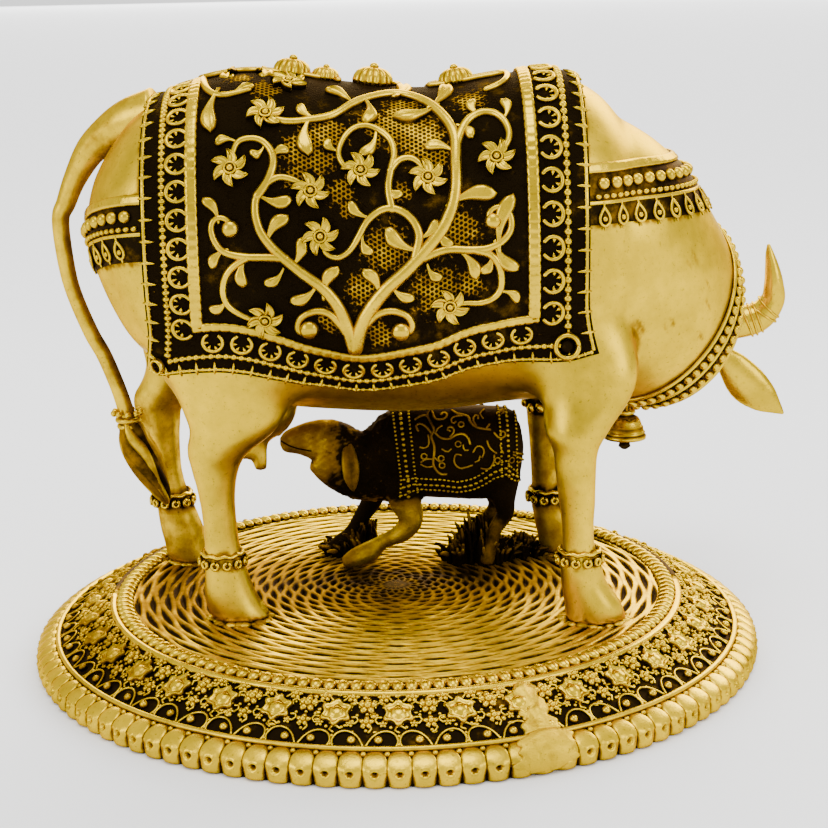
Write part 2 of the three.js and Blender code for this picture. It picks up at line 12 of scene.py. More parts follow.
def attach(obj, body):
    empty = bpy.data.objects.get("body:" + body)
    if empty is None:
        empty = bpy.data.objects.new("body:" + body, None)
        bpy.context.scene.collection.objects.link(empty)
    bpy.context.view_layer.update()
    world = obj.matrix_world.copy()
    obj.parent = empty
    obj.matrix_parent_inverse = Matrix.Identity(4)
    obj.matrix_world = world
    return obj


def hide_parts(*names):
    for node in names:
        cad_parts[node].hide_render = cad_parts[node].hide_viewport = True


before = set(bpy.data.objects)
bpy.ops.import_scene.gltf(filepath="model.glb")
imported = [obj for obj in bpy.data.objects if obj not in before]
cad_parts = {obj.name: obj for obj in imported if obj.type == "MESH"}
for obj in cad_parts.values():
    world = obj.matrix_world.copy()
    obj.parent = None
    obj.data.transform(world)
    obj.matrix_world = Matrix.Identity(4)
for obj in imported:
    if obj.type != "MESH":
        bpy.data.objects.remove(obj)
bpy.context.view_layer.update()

bl_info = {
    "name": "Brass cow and calf statue",
    "version": (1, 0, 0),
    "blender": (4, 5, 0),
    "location": "View3D > Sidebar > Statue",
    "description": "Builds a cast brass cow, her calf and their ornamented plinth",
    "category": "Add Mesh",
}

NET_PITCH = 4.7
BUMP_DEPTH = 0.0006
MM = 0.001
TURN = 2 * math.pi
UP = np.array([0.0, 0.0, 1.0])
MERGED = 2e-6
MADE = {}
PATTERNS = {}

# The plinth, in millimetres
EDGE_RING = 116.9
FRIEZE_FOOT = (115.8, 9.0)
FRIEZE_HEAD = (97.6, 18.2)
BEAD_RING = 93.9
FLOOR_RADIUS = 91.8
FLOOR_LEVEL = 18.4
GROUND = 18.7

# The figures' rows are in hundredths of each figure's height, as in the solids.
COW_UNIT = 1.76
CALF_UNIT = 0.57
CALF_PLACE = (24.0, 26.0)

TORSO = (
    (-56.5, 75, 72, 1.5), (-54.5, 82, 64, 12), (-49.5, 90, 53, 20), (-45, 94.5, 48, 23), (-39, 97.2, 44.8, 24.6),
    (-25.5, 100, 39, 25.5), (-8.5, 98, 36.8, 25.5), (7, 96.5, 36.4, 25.5), (21.5, 98.5, 37.8, 25.5),
    (30.5, 99.5, 38.6, 24.6), (36.5, 97.5, 41, 22.8), (42, 93, 44, 19.5), (48, 82.5, 52.5, 12.5), (50, 70, 67, 1.5),
)
NECK = (
    (26, 0, 70, 23, 26.5), (37, 1, 66, 21, 25), (46, 5, 58.5, 19.5, 22.5), (53.5, 12, 51.5, 17, 19),
    (57.5, 20, 48.5, 12.5, 14.5), (59, 28, 48, 10.5, 12),
)
LEGS = {
    "near_hind": (
        (-33, -11.5, 60, 13, 8), (-30.6, -15.5, 47.5, 13.4, 8), (-29.1, -16, 40, 10.2, 6.8),
        (-29.3, -16.3, 36.5, 8.1, 6), (-32, -16.5, 33, 6, 5.2), (-33, -16.5, 30, 4.5, 4.4),
        (-33, -16.5, 24, 3.2, 3.7), (-32.6, -16.5, 17.3, 3, 3.3), (-32.3, -16.5, 12.8, 3.3, 3.4),
        (-31.8, -16.5, 8.2, 4, 3.8), (-31.2, -16.5, 4.3, 4.8, 4.2), (-29.3, -16.5, 0, 5.7, 4.4),
    ),
    "near_fore": (
        (33.5, -11.5, 63, 8, 7), (35.1, -17, 48.5, 10.1, 7.4), (35.2, -19.3, 41, 8.2, 6.6),
        (33.8, -20.5, 36.5, 6.2, 5.6), (33.5, -21.2, 32.7, 4, 4.4), (33.5, -21.5, 27.5, 3.5, 4),
        (33.8, -21.6, 21.3, 3.05, 3.3), (34, -21.6, 15, 2.75, 3), (34.5, -21.6, 11, 3.6, 3.6),
        (35, -21.6, 7.1, 4.1, 3.9), (36.8, -21.6, 3.1, 5.2, 4.4), (37.3, -21.6, 0, 5.7, 4.6),
    ),
    "far_hind": (
        (-36, 11.5, 60, 13, 8), (-38.5, 16.5, 47.5, 13, 8), (-42, 18, 41, 9, 6.8), (-46, 19.3, 36.5, 6.5, 5.6),
        (-48, 20, 33, 4.8, 4.7), (-47.7, 20, 28.7, 3.8, 4), (-47.2, 20, 23, 3.1, 3.4), (-46.7, 20, 17.3, 3, 3.2),
        (-45.5, 20, 11.6, 3.7, 3.6), (-44.6, 20, 7.7, 4.2, 3.9), (-43.5, 20, 3.7, 4.5, 4.2), (-42, 20, 0, 5.4, 4.4),
    ),
    "far_fore": (
        (33, 11.5, 62, 11, 8), (33.5, 16, 48.5, 10.8, 7.5), (32.7, 18.7, 40, 7.4, 6.2), (31.8, 20, 33.2, 4.3, 4.7),
        (31.7, 20.5, 27.5, 3.5, 4), (31.7, 20.5, 21.3, 3.05, 3.3), (31.8, 20.5, 15, 2.8, 3),
        (32.4, 20.5, 11, 3.5, 3.5), (33.5, 20.5, 7.1, 4.1, 3.9), (35.2, 20.5, 3.1, 5, 4.3), (36, 20.5, 0, 5.5, 4.5),
    ),
}
TAIL = (
    (-42.5, 0, 93.5, 5), (-47.5, 0.8, 92.2, 4.4), (-51.5, 1.8, 90.2, 3.7), (-55.8, 2.6, 86.8, 2.9),
    (-59.2, 3.2, 81.5, 2.2), (-61.2, 3.4, 77, 1.9), (-62.5, 3.4, 73.6, 1.7), (-62, 3.4, 65.6, 1.6),
    (-60.8, 3.4, 59.4, 1.5), (-58, 3.4, 51.7, 1.5), (-55.7, 3.4, 47, 1.5), (-53.4, 3.4, 40.6, 1.5),
    (-52, 3.4, 35.5, 1.6), (-51.2, 3.4, 32.6, 1.8),
)
TUFT = (
    (-51.4, 3.4, 33.5, 2.2), (-50.6, 3.4, 30.5, 3.3), (-49.4, 3.4, 27, 3.7), (-47.8, 3.4, 23, 3.0),
    (-46, 3.4, 19, 1.7), (-45.2, 3.4, 17, 0.5),
)
HEAD_MIDDLE = 59
HEAD = (
    (59, 22, 54, 8.5, 10), (59, 26, 52, 10.3, 10.8), (59, 31.5, 48.5, 10.8, 10.4), (59, 37, 44.8, 9.2, 9),
    (59, 43, 40.6, 7, 7.2), (59, 48, 37.2, 6.6, 6.2), (59, 52, 34.6, 6.2, 5.2), (59, 54, 33.4, 3.6, 3),
)
HORN = (
    (6, 26, 46, 3.2), (12, 25.5, 46.6, 3.4), (17, 25, 47.8, 3.1), (19.8, 24.5, 51.2, 2.5), (19.9, 24, 54.8, 2),
    (19.5, 24, 58, 1.5), (18.9, 24, 61, 0.9), (18.6, 24, 63, 0.3),
)
EAR = (
    (6, 30, 43.5, 1.3), (10, 30, 40, 1.6), (13, 30, 36.6, 3.2), (16.2, 30, 32.6, 4.1), (19.8, 30, 29.4, 3.2),
    (22.4, 30, 27.3, 1.5), (24, 30, 26, 0.3),
)
STAINS = ((706, 286), (709, 304), (702, 335), (670, 326), (692, 262), (640, 330), (604, 520))
CLOTH_REAR, CLOTH_FRONT = -43.3, 35.4
CLOTH_LIFT = 1.5

# The cloth's relief, read off the front view in 828ths of the picture: x to the right, y down.
HEM = (
    (150, 370), (180, 374), (213, 372), (246, 375), (279, 381), (313, 386), (362, 391), (412, 386), (439, 381),
    (466, 371), (500, 364), (549, 362), (589, 356),
)
STEMS = (
    (
        2.3, 1.0,
        (
            (354, 348), (346, 323), (336, 303), (323, 288), (306, 276), (293, 266), (280, 255), (270, 245),
            (260, 231), (255, 213), (256, 198), (266, 184), (280, 177), (298, 182), (308, 190),
        ),
    ),
    (
        1.6, 0.9,
        ((257, 196), (266, 183), (272, 169), (273, 157), (269, 148), (260, 140), (247, 139), (237, 143), (231, 160)),
    ),
    (
        1.5, 0.9,
        (
            (285, 258), (266, 257), (246, 257), (233, 255), (221, 250), (213, 238), (211, 225), (216, 218),
            (226, 219), (232, 227),
        ),
    ),
    (1.3, 0.9, ((246, 258), (231, 268), (223, 283), (225, 301), (235, 311), (250, 318), (262, 319))),
    (
        2.5, 1.2,
        (
            (355, 348), (361, 326), (372, 306), (387, 288), (404, 273), (424, 252), (443, 228), (453, 205),
            (456, 188), (456, 156), (455, 136), (446, 120), (431, 106), (413, 98), (392, 95), (364, 100), (348, 107),
            (333, 116), (313, 120), (284, 122), (268, 116),
        ),
    ),
    (1.6, 1.0, ((456, 150), (459, 138), (468, 121), (483, 113), (499, 116), (509, 130), (508, 143), (499, 154))),
    (
        1.6, 0.9,
        (
            (413, 264), (417, 250), (419, 233), (409, 216), (392, 208), (379, 211), (367, 221), (359, 235),
            (349, 251), (336, 258), (324, 251), (321, 240),
        ),
    ),
    (
        1.4, 0.9,
        (
            (392, 209), (388, 187), (391, 169), (394, 154), (390, 140), (377, 130), (364, 126), (350, 131),
            (341, 143), (338, 156), (346, 168), (358, 171),
        ),
    ),
    (1.3, 0.9, ((390, 171), (398, 161), (410, 158), (420, 164), (427, 175))),
    (
        1.6, 0.9,
        (
            (418, 260), (446, 250), (470, 250), (490, 248), (503, 241), (511, 230), (511, 216), (504, 208),
            (494, 208), (488, 216), (491, 222),
        ),
    ),
    (1.4, 0.9, ((475, 250), (493, 256), (501, 271), (501, 288), (494, 298), (480, 303), (465, 303), (452, 306))),
    (1.7, 1.0, ((353, 342), (342, 326), (329, 313), (313, 311), (299, 319), (298, 331), (308, 333))),
    (1.7, 1.0, ((355, 342), (366, 324), (379, 313), (396, 311), (410, 318), (412, 330), (402, 335))),
    (1.6, 1.0, ((200, 69), (208, 67), (225, 63), (241, 62), (258, 62), (275, 64), (290, 66))),
    (1.5, 0.9, ((204, 66), (203, 76), (205, 88), (215, 96), (228, 96), (249, 91))),
    (1.3, 0.9, ((462, 77), (473, 74), (492, 72), (509, 75), (502, 84), (486, 91))),
    (1.3, 0.9, ((300, 68), (312, 72), (324, 76), (338, 82))), (1.3, 0.9, ((430, 80), (440, 78), (452, 76))),
)
BULBS = ((230, 229, 2.8), (309, 329, 3.2), (401, 331, 3.2), (493, 221, 2.6))
FLOWERS = (
    (230, 169), (310, 191), (265, 115), (288, 84), (360, 171), (320, 236), (428, 178), (497, 158), (265, 319),
    (450, 306),
)
ROSETTES = ((293, 66, 1.0), (326, 73, 0.75), (373, 79, 1.08), (455, 78, 0.95))
NET_PATCHES = (
    (305, 151, 7), (327, 134, 6), (341, 192, 4), (349, 208, 3), (372, 122, 5), (395, 128, 8), (420, 138, 8),
    (435, 155, 5), (401, 192, 3), (460, 229, 6), (386, 250, 7), (362, 290, 5), (437, 290, 7), (470, 282, 4),
    (380, 334, 4), (266, 88, 5), (240, 78, 4), (296, 176, 4), (470, 100, 5), (402, 110, 6), (318, 160, 5),
    (330, 320, 4),
)
LEAVES = (
    (326, 294, 337, 271), (377, 294, 364, 273), (313, 286, 293, 298), (394, 286, 412, 296), (280, 270, 266, 281),
    (291, 263, 299, 241), (270, 241, 286, 220), (263, 195, 288, 198), (416, 247, 391, 230), (364, 238, 372, 251),
    (367, 215, 352, 203), (246, 261, 245, 283), (455, 205, 491, 197), (430, 266, 441, 276), (461, 255, 473, 276),
    (499, 245, 516, 265), (503, 293, 516, 301), (451, 153, 428, 149), (431, 108, 398, 116), (431, 106, 443, 90),
    (364, 104, 364, 122), (310, 124, 310, 151), (313, 117, 301, 107), (347, 102, 328, 93), (373, 136, 361, 153),
    (233, 143, 218, 145), (262, 148, 255, 151), (232, 66, 232, 88), (263, 65, 260, 82), (218, 98, 213, 131),
    (236, 95, 252, 89), (216, 219, 204, 202), (503, 241, 516, 190), (504, 116, 502, 103), (224, 300, 211, 307),
    (420, 236, 434, 222), (338, 150, 328, 141), (388, 186, 401, 193), (458, 128, 470, 138), (441, 229, 452, 243),
    (273, 158, 287, 152), (225, 252, 214, 266), (490, 256, 482, 270), (395, 96, 402, 84), (479, 114, 474, 103),
)
CALF_SCROLLS = (
    (
        0.85,
        (
            (430, 410), (427, 415), (430, 422), (434, 430), (431, 436), (434, 445), (434, 455), (433, 463),
            (436, 470), (441, 474), (446, 474),
        ),
    ),
    (0.75, ((415, 420), (420, 417), (426, 416), (429, 420))),
    (0.75, ((418, 431), (416, 426), (420, 424), (426, 427), (431, 433))),
    (0.65, ((428, 435), (429, 441), (428, 446), (424, 448), (420, 447))),
    (0.75, ((432, 412), (435, 419), (441, 420), (446, 418), (447, 415), (444, 413), (441, 415))),
    (0.75, ((435, 433), (441, 438), (449, 439), (456, 435), (463, 434), (468, 438), (470, 444))),
    (0.65, ((450, 437), (454, 432), (453, 428), (449, 427), (447, 430), (450, 431))),
    (0.8, ((452, 411), (457, 414), (462, 415), (468, 417), (470, 422), (475, 427), (482, 429), (490, 430))),
    (0.65, ((462, 416), (455, 417), (451, 420), (453, 424), (456, 422))),
    (0.65, ((476, 426), (473, 420), (475, 416), (478, 416), (478, 419))),
    (0.7, ((494, 433), (499, 438), (504, 437), (505, 433), (502, 431), (500, 434))),
    (0.65, ((487, 441), (489, 447), (493, 451), (496, 453))),
    (0.7, ((494, 455), (494, 460), (492, 465), (488, 469), (481, 468))),
    (0.6, ((473, 452), (477, 446), (482, 447), (484, 452), (482, 457))),
    (0.65, ((461, 455), (456, 454), (454, 459), (455, 464), (460, 468), (466, 467), (472, 465))),
    (0.55, ((463, 445), (464, 450), (468, 450))), (0.55, ((442, 449), (447, 452), (451, 449))),
    (0.6, ((421, 462), (426, 459), (433, 459))), (0.6, ((421, 464), (427, 467), (433, 466))),
    (0.6, ((434, 457), (440, 462))), (0.6, ((442, 426), (438, 428), (436, 432))),
    (0.6, ((515, 452), (520, 454), (526, 455))), (0.6, ((517, 463), (521, 461), (526, 458))),
    (0.55, ((475, 462), (479, 460), (480, 456))), (0.55, ((500, 445), (501, 450), (503, 453))),
    (0.6, ((484, 410), (480, 414), (483, 419))),
)
CALF_HEM = (
    (402, 499), (410, 495), (420, 491), (440, 491), (458, 493), (472, 491), (484, 486), (494, 480), (506, 476),
    (522, 480),
)
CALF_MOUTH = ((281, 441), (290, 446), (300, 449), (311, 451))
CALF_RINGS = ((461, 425), (441, 458), (442, 465), (497, 460), (511, 460), (458, 444), (424, 456))

CALF_BODY = (
    (-57, 88, 68, 10), (-47, 97.5, 54, 17), (-31.5, 100.5, 45, 21.5), (-7, 100, 42, 22.5), (17.5, 99, 41, 21.5),
    (31.5, 96.5, 44.5, 17.5), (38.5, 88, 58, 9.5), (40.5, 76, 72, 1.8),
)
CALF_HEAD = (
    (-68, -4.4, 74, 11, 14), (-80, -5.3, 80, 12, 15), (-91, -7, 83, 10, 12.5), (-101, -8.8, 83.5, 7.5, 9),
    (-109, -10.5, 82.4, 6.2, 6.2), (-112, -10.5, 82, 3, 3),
)
CALF_NECK = (
    (-34, 0, 70, 16, 27), (-50, -1, 65.5, 15, 25), (-62, -2.6, 64.5, 13.5, 22), (-74, -4.4, 69, 12.5, 19.5),
    (-86, -6, 77.5, 11, 15.5),
)
CALF_LEGS = (
    (
        (-37, -10.5, 57, 12, 8), (-35.5, -10.5, 45, 10, 8), (-31.5, -10.5, 31, 7.5, 6.8), (-37, -10.5, 22.5, 6, 6),
        (-46, -10.5, 18, 4.4, 5), (-52, -10.5, 15, 4.6, 5.2), (-58, -10.5, 10, 6.4, 6.2), (-67, -10.5, 6, 6, 6.6),
        (-75, -10.5, 3, 3, 5.4),
    ),
    (
        (-44, 9, 66, 9, 7), (-56, 19, 36, 6.5, 6), (-63, 21, 24, 5, 5), (-70, 21, 13, 4.5, 4.5), (-78, 21, 5, 6, 5),
        (-80, 21, 0.5, 5, 5),
    ),
    (
        (26, -7, 57, 12, 9), (27, -8.8, 43, 7.5, 7), (28, -8.8, 32.5, 5, 5.5), (22, -8.8, 23.5, 4.2, 4.5),
        (19, -8.8, 13, 4, 4), (16, -8.8, 4, 5.2, 5.2), (15, -8.8, 0.5, 5.4, 5.2),
    ),
    (
        (22, 7, 57, 12, 9), (23, 10, 43, 7.5, 7), (24, 11.5, 32.5, 5, 5.5), (18, 12, 23.5, 4.2, 4.5),
        (14, 12, 13, 4, 4), (10, 12, 4, 5.2, 5.2), (9, 12, 0.5, 5.4, 5.2),
    ),
)

# The front view: its distance and height angle from the point that it looks at, its focal length
# and middle in 828ths of the picture, and its roll.
VIEW_TARGET = np.array([0.0, 0.0, 80.0])
VIEW_DISTANCE = 600.0
VIEW_RISE = math.radians(13.52)
VIEW_BACK = np.array([0.0, -math.cos(VIEW_RISE), math.sin(VIEW_RISE)])
VIEW_FOCUS = 1753.0
VIEW_MIDDLE = (391.85, 414.3)
VIEW_ROLL = math.radians(1.26)
PICTURE = 828.0
SENSOR = 36.0


# Modelling helpers


def only(*pieces):
    """Selects these pieces and nothing else, with the first one active."""
    if bpy.context.object and bpy.context.object.mode != "OBJECT":
        bpy.ops.object.mode_set(mode="OBJECT")
    bpy.ops.object.select_all(action="DESELECT")
    for piece in pieces:
        piece.select_set(True)
    bpy.context.view_layer.objects.active = pieces[0] if pieces else None


def read_all(rows, field, width=3, kind=float):
    flat = np.empty(len(rows) * width, kind)
    rows.foreach_get(field, flat)
    return flat.reshape(-1, width)


def points_of(piece):
    return read_all(piece.data.vertices, "co") / MM


def normals_of(piece):
    return read_all(piece.data.vertex_normals, "vector")


def edges_of(piece):
    return read_all(piece.data.edges, "vertices", 2, np.int32)


def set_points(piece, points):
    piece.data.vertices.foreach_set("co", (np.asarray(points) * MM).ravel())
    piece.data.update()


def unit(vectors):
    vectors = np.asarray(vectors, float)
    return vectors / np.maximum(np.linalg.norm(vectors, axis=-1, keepdims=True), 1e-9)


def smooth_step(low, high, value):
    t = np.clip((np.asarray(value, float) - low) / (high - low), 0, 1)
    return t * t * (3 - 2 * t)


def hump(off, width=1.0):
    """A soft hump: 1 where off is 0, falling away over the width on both sides."""
    return np.exp(-((off / width) ** 2))


def signed_power(value, power):
    return np.sign(value) * np.abs(value) ** power


def circle(turn, radius=1.0, height=0.0):
    return np.stack([radius * np.cos(turn), radius * np.sin(turn), 0 * turn + height], axis=-1)


def whole_turn(count, closed=False):
    """Even angles round a circle; closed ends where it starts."""
    return np.linspace(0, TURN, count) if closed else np.arange(count) * TURN / count


def close_up(piece):
    """Seams and poles are merged, ends are filled and faces point outwards."""
    only(piece)
    bpy.ops.object.mode_set(mode="EDIT")
    bpy.ops.mesh.select_all(action="SELECT")
    bpy.ops.mesh.remove_doubles(threshold=MERGED)
    bpy.ops.mesh.fill_holes(sides=0)
    bpy.ops.mesh.normals_make_consistent(inside=False)
    bpy.ops.object.mode_set(mode="OBJECT")
    bpy.ops.object.shade_smooth()
    return piece


def loft(rings, around=True):
    """A grid primitive laid along rings of points in millimetres, closed into a solid form."""
    rings = np.asarray(rings, float)
    if around:
        rings = np.concatenate([rings, rings[:, :1]], axis=1)
    rows, columns = rings.shape[:2]
    only()
    bpy.ops.mesh.primitive_grid_add(x_subdivisions=columns - 1, y_subdivisions=rows - 1, size=1)
    set_points(bpy.context.object, rings.reshape(-1, 3))
    return close_up(bpy.context.object)


def dome(radius, segments=8, rings=5, stretch=(1, 1, 1)):
    """A ball, flattened or stretched."""
    only()
    bpy.ops.mesh.primitive_uv_sphere_add(segments=segments, ring_count=rings, radius=radius * MM)
    piece = bpy.context.object
    set_points(piece, points_of(piece) * stretch)
    bpy.ops.object.shade_smooth()
    return piece


def moved(piece, by):
    set_points(piece, points_of(piece) + by)
    return piece


def join(pieces):
    only(*pieces)
    if len(pieces) > 1:
        bpy.ops.object.join()
    return pieces[0]


def rub_and_shade(piece, values):
    """How bright the brass is at each point, from 0 in a recess to 1 on a high point: partly real wear and patina,
    partly painted shade and painted highlights.
    """
    attribute = piece.data.attributes.get("wear") or piece.data.attributes.new("wear", "FLOAT", "POINT")
    values = np.broadcast_to(np.clip(values, 0, 1), len(piece.data.vertices)).astype(np.float32)
    attribute.data.foreach_set("value", values)
    return piece


def wear_and_shade_of(piece):
    values = np.ones(len(piece.data.vertices), np.float32)
    if "wear" in piece.data.attributes:
        piece.data.attributes["wear"].data.foreach_get("value", values)
    return values


def rub_and_shade_facing(piece, outward, low=-0.25, high=0.75):
    """Faces that look out are painted bright and sides that run into the ground are painted dark: painted light and
    shade by facing, with rubbed wear on the crests.
    """
    return rub_and_shade(piece, smooth_step(low, high, (normals_of(piece) * outward).sum(axis=1)))


def rub_and_shade_pattern(piece, low=-0.25, high=0.75):
    """Tops are bright, and the sides and the foot where a pattern meets its ground are dark: rubbed wear with painted
    light on the tops, patina with painted shade on the sides and at the foot.
    """
    height = points_of(piece)[:, 2]
    rub_and_shade_facing(piece, UP, low, high)
    return rub_and_shade(piece, wear_and_shade_of(piece) * (0.4 + 0.6 * smooth_step(-0.15, 0.6, height / height.max())))


def bead_pattern(radius, segments, rings, stretch=(1, 1, 1), rubbed_and_lit=(-0.25, 0.65)):
    return rub_and_shade_pattern(dome(radius, segments, rings, stretch), *rubbed_and_lit)


def copies(pattern, frames):
    """One piece of copies of a pattern, one in each frame of 3 axes and a place, each with its own mesh."""
    frames, points = np.asarray(frames, float), points_of(pattern)
    placed = np.einsum("kij,pj->kpi", frames[:, :, :3], points) + frames[:, None, :, 3]
    faces = [list(face.vertices) for face in pattern.data.polygons]
    every = [[v + k * len(points) for v in face] for k in range(len(frames)) for face in faces]
    mesh = bpy.data.meshes.new("copies")
    mesh.from_pydata((placed.reshape(-1, 3) * MM).tolist(), [], every)
    piece = bpy.data.objects.new("copies", mesh)
    bpy.context.scene.collection.objects.link(piece)
    rub_and_shade(piece, np.tile(wear_and_shade_of(pattern), len(frames)))
    flipped = np.linalg.det(frames[:, :, :3]) < 0
    if flipped.any():
        if not flipped.all():
            raise RuntimeError("mirrored and plain copies are made apart")
        mesh.flip_normals()
    only(piece)
    bpy.ops.object.shade_smooth()
    PATTERNS[pattern.name] = pattern
    return piece


def frames_on(places, forward, outward, scale=1.0):
    """Frames whose x runs forward along a surface and whose z stands out of it."""
    places = np.asarray(places, float)
    z = unit(np.broadcast_to(outward, places.shape))
    x = unit(forward - (np.asarray(forward) * z).sum(axis=-1, keepdims=True) * z)
    axes = np.stack([x, np.cross(z, x), z], axis=-1) * np.broadcast_to(scale, places.shape)[:, None, :]
    return np.concatenate([axes, places[:, :, None]], axis=-1)


def facing(frames, direction, axis=0):
    """Frames turned half round where needed, so that their x, or another axis, looks along a direction."""
    back = (frames[:, :, axis] * direction).sum(axis=1) < 0
    frames[back, :, :2] *= -1
    return frames


def follow(rows, position):
    """A smooth reading between rows of position, value, value and so on."""
    rows = np.asarray(rows, float)
    position = np.atleast_1d(np.asarray(position, float))
    i = np.clip(np.searchsorted(rows[:, 0], position, "right") - 1, 0, len(rows) - 2)
    before, start, end, after = (rows[np.clip(i + k, 0, len(rows) - 1)] for k in (-1, 0, 1, 2))
    span = end[:, :1] - start[:, :1]
    t = (position[:, None] - start[:, :1]) / span
    leaving = (end[:, 1:] - before[:, 1:]) / (end[:, :1] - before[:, :1]) * span
    arriving = (after[:, 1:] - start[:, 1:]) / (after[:, :1] - start[:, :1]) * span
    return (
        (2 * t**3 - 3 * t**2 + 1) * start[:, 1:]
        + (t**3 - 2 * t**2 + t) * leaving
        + (3 * t**2 - 2 * t**3) * end[:, 1:]
        + (t**3 - t**2) * arriving
    )


def numbered(rows):
    return np.concatenate([np.arange(len(rows))[:, None], np.asarray(rows, float)], axis=1)


def spread(rows, count):
    """A smooth reading of rows at count even places from the first row to the last."""
    return follow(numbered(rows), np.linspace(0, len(rows) - 1, count))


def length_along(places):
    return np.concatenate([[0], np.cumsum(np.linalg.norm(np.diff(places, axis=0), axis=1))])


def curve(points, spacing=None, count=None):
    """Points evenly along a smooth curve through points."""
    points = np.asarray(points, float)
    along = length_along(points[:, :3])
    count = count or max(int(along[-1] / spacing), 3)
    fine = follow(np.concatenate([along[:, None], points], axis=1), np.linspace(0, along[-1], count * 6))
    length = length_along(fine[:, :3])
    even = np.linspace(0, length[-1], count)
    return np.stack([np.interp(even, length, fine[:, k]) for k in range(fine.shape[1])], axis=1)


def evenly(places, outs, step):
    """The same line with even steps: its places, and the directions along it and out of it."""
    length = length_along(places)
    count = max(int(round(length[-1] / step)), 2)
    at = (np.arange(count) + 0.5) / count * length[-1]
    pick = lambda rows: np.stack([np.interp(at, length, rows[:, k]) for k in range(3)], axis=1)
    place = pick(places)
    return place, unit(np.gradient(place, axis=0)), unit(pick(outs))


def string_of(pattern, line, lift=0.0, scale=1.0):
    """Copies of a pattern in a row along a line."""
    place, along, out = line
    return copies(pattern, frames_on(place + out * lift, along, out, scale))


def blur_line(rows, rounds):
    rows = rows.copy()
    for _ in range(rounds):
        rows[1:-1] = (rows[:-2] + 2 * rows[1:-1] + rows[2:]) / 4
    return rows


def tube(path, wide, high=None, outward=(0, 1, 0), sides=10, blunt=True):
    """A closed bar along a path, with its half width, its half height along outward, and rounded ends."""
    path = np.asarray(path, float)
    count = len(path)
    wide = np.broadcast_to(np.asarray(wide, float), count)
    high = wide if high is None else np.broadcast_to(np.asarray(high, float), count)
    tangent = unit(np.gradient(path, axis=0))
    sideways = unit(np.cross(tangent, np.broadcast_to(np.asarray(outward, float), path.shape)))
    up = np.cross(sideways, tangent)
    caps = [(i, 0, 0.0) for i in range(count)]
    if blunt:
        caps = [(0, -1, s) for s in (1.0, 0.8, 0.45)] + caps + [(count - 1, 1, s) for s in (0.45, 0.8, 1.0)]
    angles = whole_turn(sides)
    rings = []
    for i, way, share in caps:
        girth = math.sqrt(max(1 - share * share, 0.0))
        centre = path[i] + tangent[i] * way * share * min(wide[i], high[i])
        across, rise = wide[i] * girth * np.cos(angles), high[i] * girth * np.sin(angles)
        rings.append(centre + sideways[i] * across[:, None] + up[i] * rise[:, None])
    return loft(rings)


def hoop(path, wide, high=None, outward=UP, sides=8):
    """A bar bent round until its ends meet."""
    return tube(path, wide, high, outward, sides, blunt=False)


def wire_pattern(points, thick=0.45, lift=0.35, spacing=0.7, sides=6):
    """A thin raised wire through points on the ground."""
    path = curve([(x, y, lift) for x, y in points], spacing=spacing)
    return rub_and_shade_pattern(tube(path, thick, thick, UP, sides), -0.3, 0.6)


def lathe(profile, place=(0, 0, 0), segments=48):
    """A turned form from its outline of radius and height."""
    angles = whole_turn(segments)
    x, y, z = place
    return loft([
        np.stack([x + r * np.cos(angles), y + r * np.sin(angles), np.full(segments, z + h)], axis=1)
        for r, h in np.asarray(profile, float)
    ])


class Figure:
    """A figure's own space, in hundredths of its height from its hooves, read as millimetres."""

    def __init__(self, scale, place=(0, 0)):
        self.scale, self.place = scale, place

    def at(self, x, y, z):
        x, y, z = (np.asarray(v) * self.scale for v in (x, y, z))
        return np.stack([self.place[0] + x, self.place[1] + y, GROUND + z], axis=-1)

    def limb(self, rows, sides=24, steps=40, level=False, upward=(0, 1, 0), swell=0.0):
        """A closed limb through rows of place and half widths."""
        table = spread([row if len(row) == 5 else (*row, row[-1]) for row in rows], steps)
        centres = self.at(*table[:, :3].T)
        along = unit(np.gradient(centres, axis=0))
        if level:
            along = np.broadcast_to(np.array([0, 0, np.sign(along[1, 2])]), along.shape)
        across = unit(np.cross(np.broadcast_to(upward, along.shape), along))
        up = np.cross(along, across)
        angles = whole_turn(sides)
        wide, high = table[:, 3] * self.scale + swell, table[:, 4] * self.scale + swell
        return loft(
            centres[:, None, :]
            + across[:, None, :] * (wide[:, None] * np.cos(angles))[:, :, None]
            + up[:, None, :] * (high[:, None] * np.sin(angles))[:, :, None]
        )


cow, calf = Figure(COW_UNIT), Figure(CALF_UNIT, CALF_PLACE)


class Barrel:
    """The round of a body, read by its place along and the angle round it from the +Y side upwards."""

    def __init__(self, rows, squareness, figure):
        self.rows, self.power, self.figure = rows, 2 / squareness, figure

    def section(self, x):
        top, bottom, half = follow(self.rows, x).T
        scale = self.figure.scale
        return GROUND + (top + bottom) / 2 * scale, half * scale, (top - bottom) / 2 * scale

    def point(self, x, angle):
        x, angle = (np.ravel(v) for v in np.broadcast_arrays(x, angle))
        middle, wide, high = self.section(x)
        return np.stack([
            self.figure.place[0] + x * self.figure.scale,
            self.figure.place[1] + wide * signed_power(np.cos(angle), self.power),
            middle + high * signed_power(np.sin(angle), self.power),
        ], axis=-1)

    def frame(self, x, angle):
        """Each place, and which way is out of the body there."""
        forward = unit(self.point(x + 0.2, angle) - self.point(x - 0.2, angle))
        side = np.where(np.cos(angle) < 0, -1.0, 1.0)
        round_it = unit(self.point(x, angle + 0.01 * side) - self.point(x, angle - 0.01 * side))
        out = unit(np.cross(round_it, forward)) * side[:, None]
        place = self.point(x, angle)
        inner = np.stack([place[:, 0], np.full(len(x), self.figure.place[1]), self.section(x)[0]], axis=-1)
        return place, out * np.where((out * (place - inner)).sum(axis=1) < 0, -1.0, 1.0)[:, None]

    def skin(self, first, last, rows, sides):
        return loft([self.point(np.full(sides, x), whole_turn(sides)) for x in np.linspace(first, last, rows)])


torso, calf_barrel = Barrel(TORSO, 2.2, cow), Barrel(CALF_BODY, 2.1, calf)


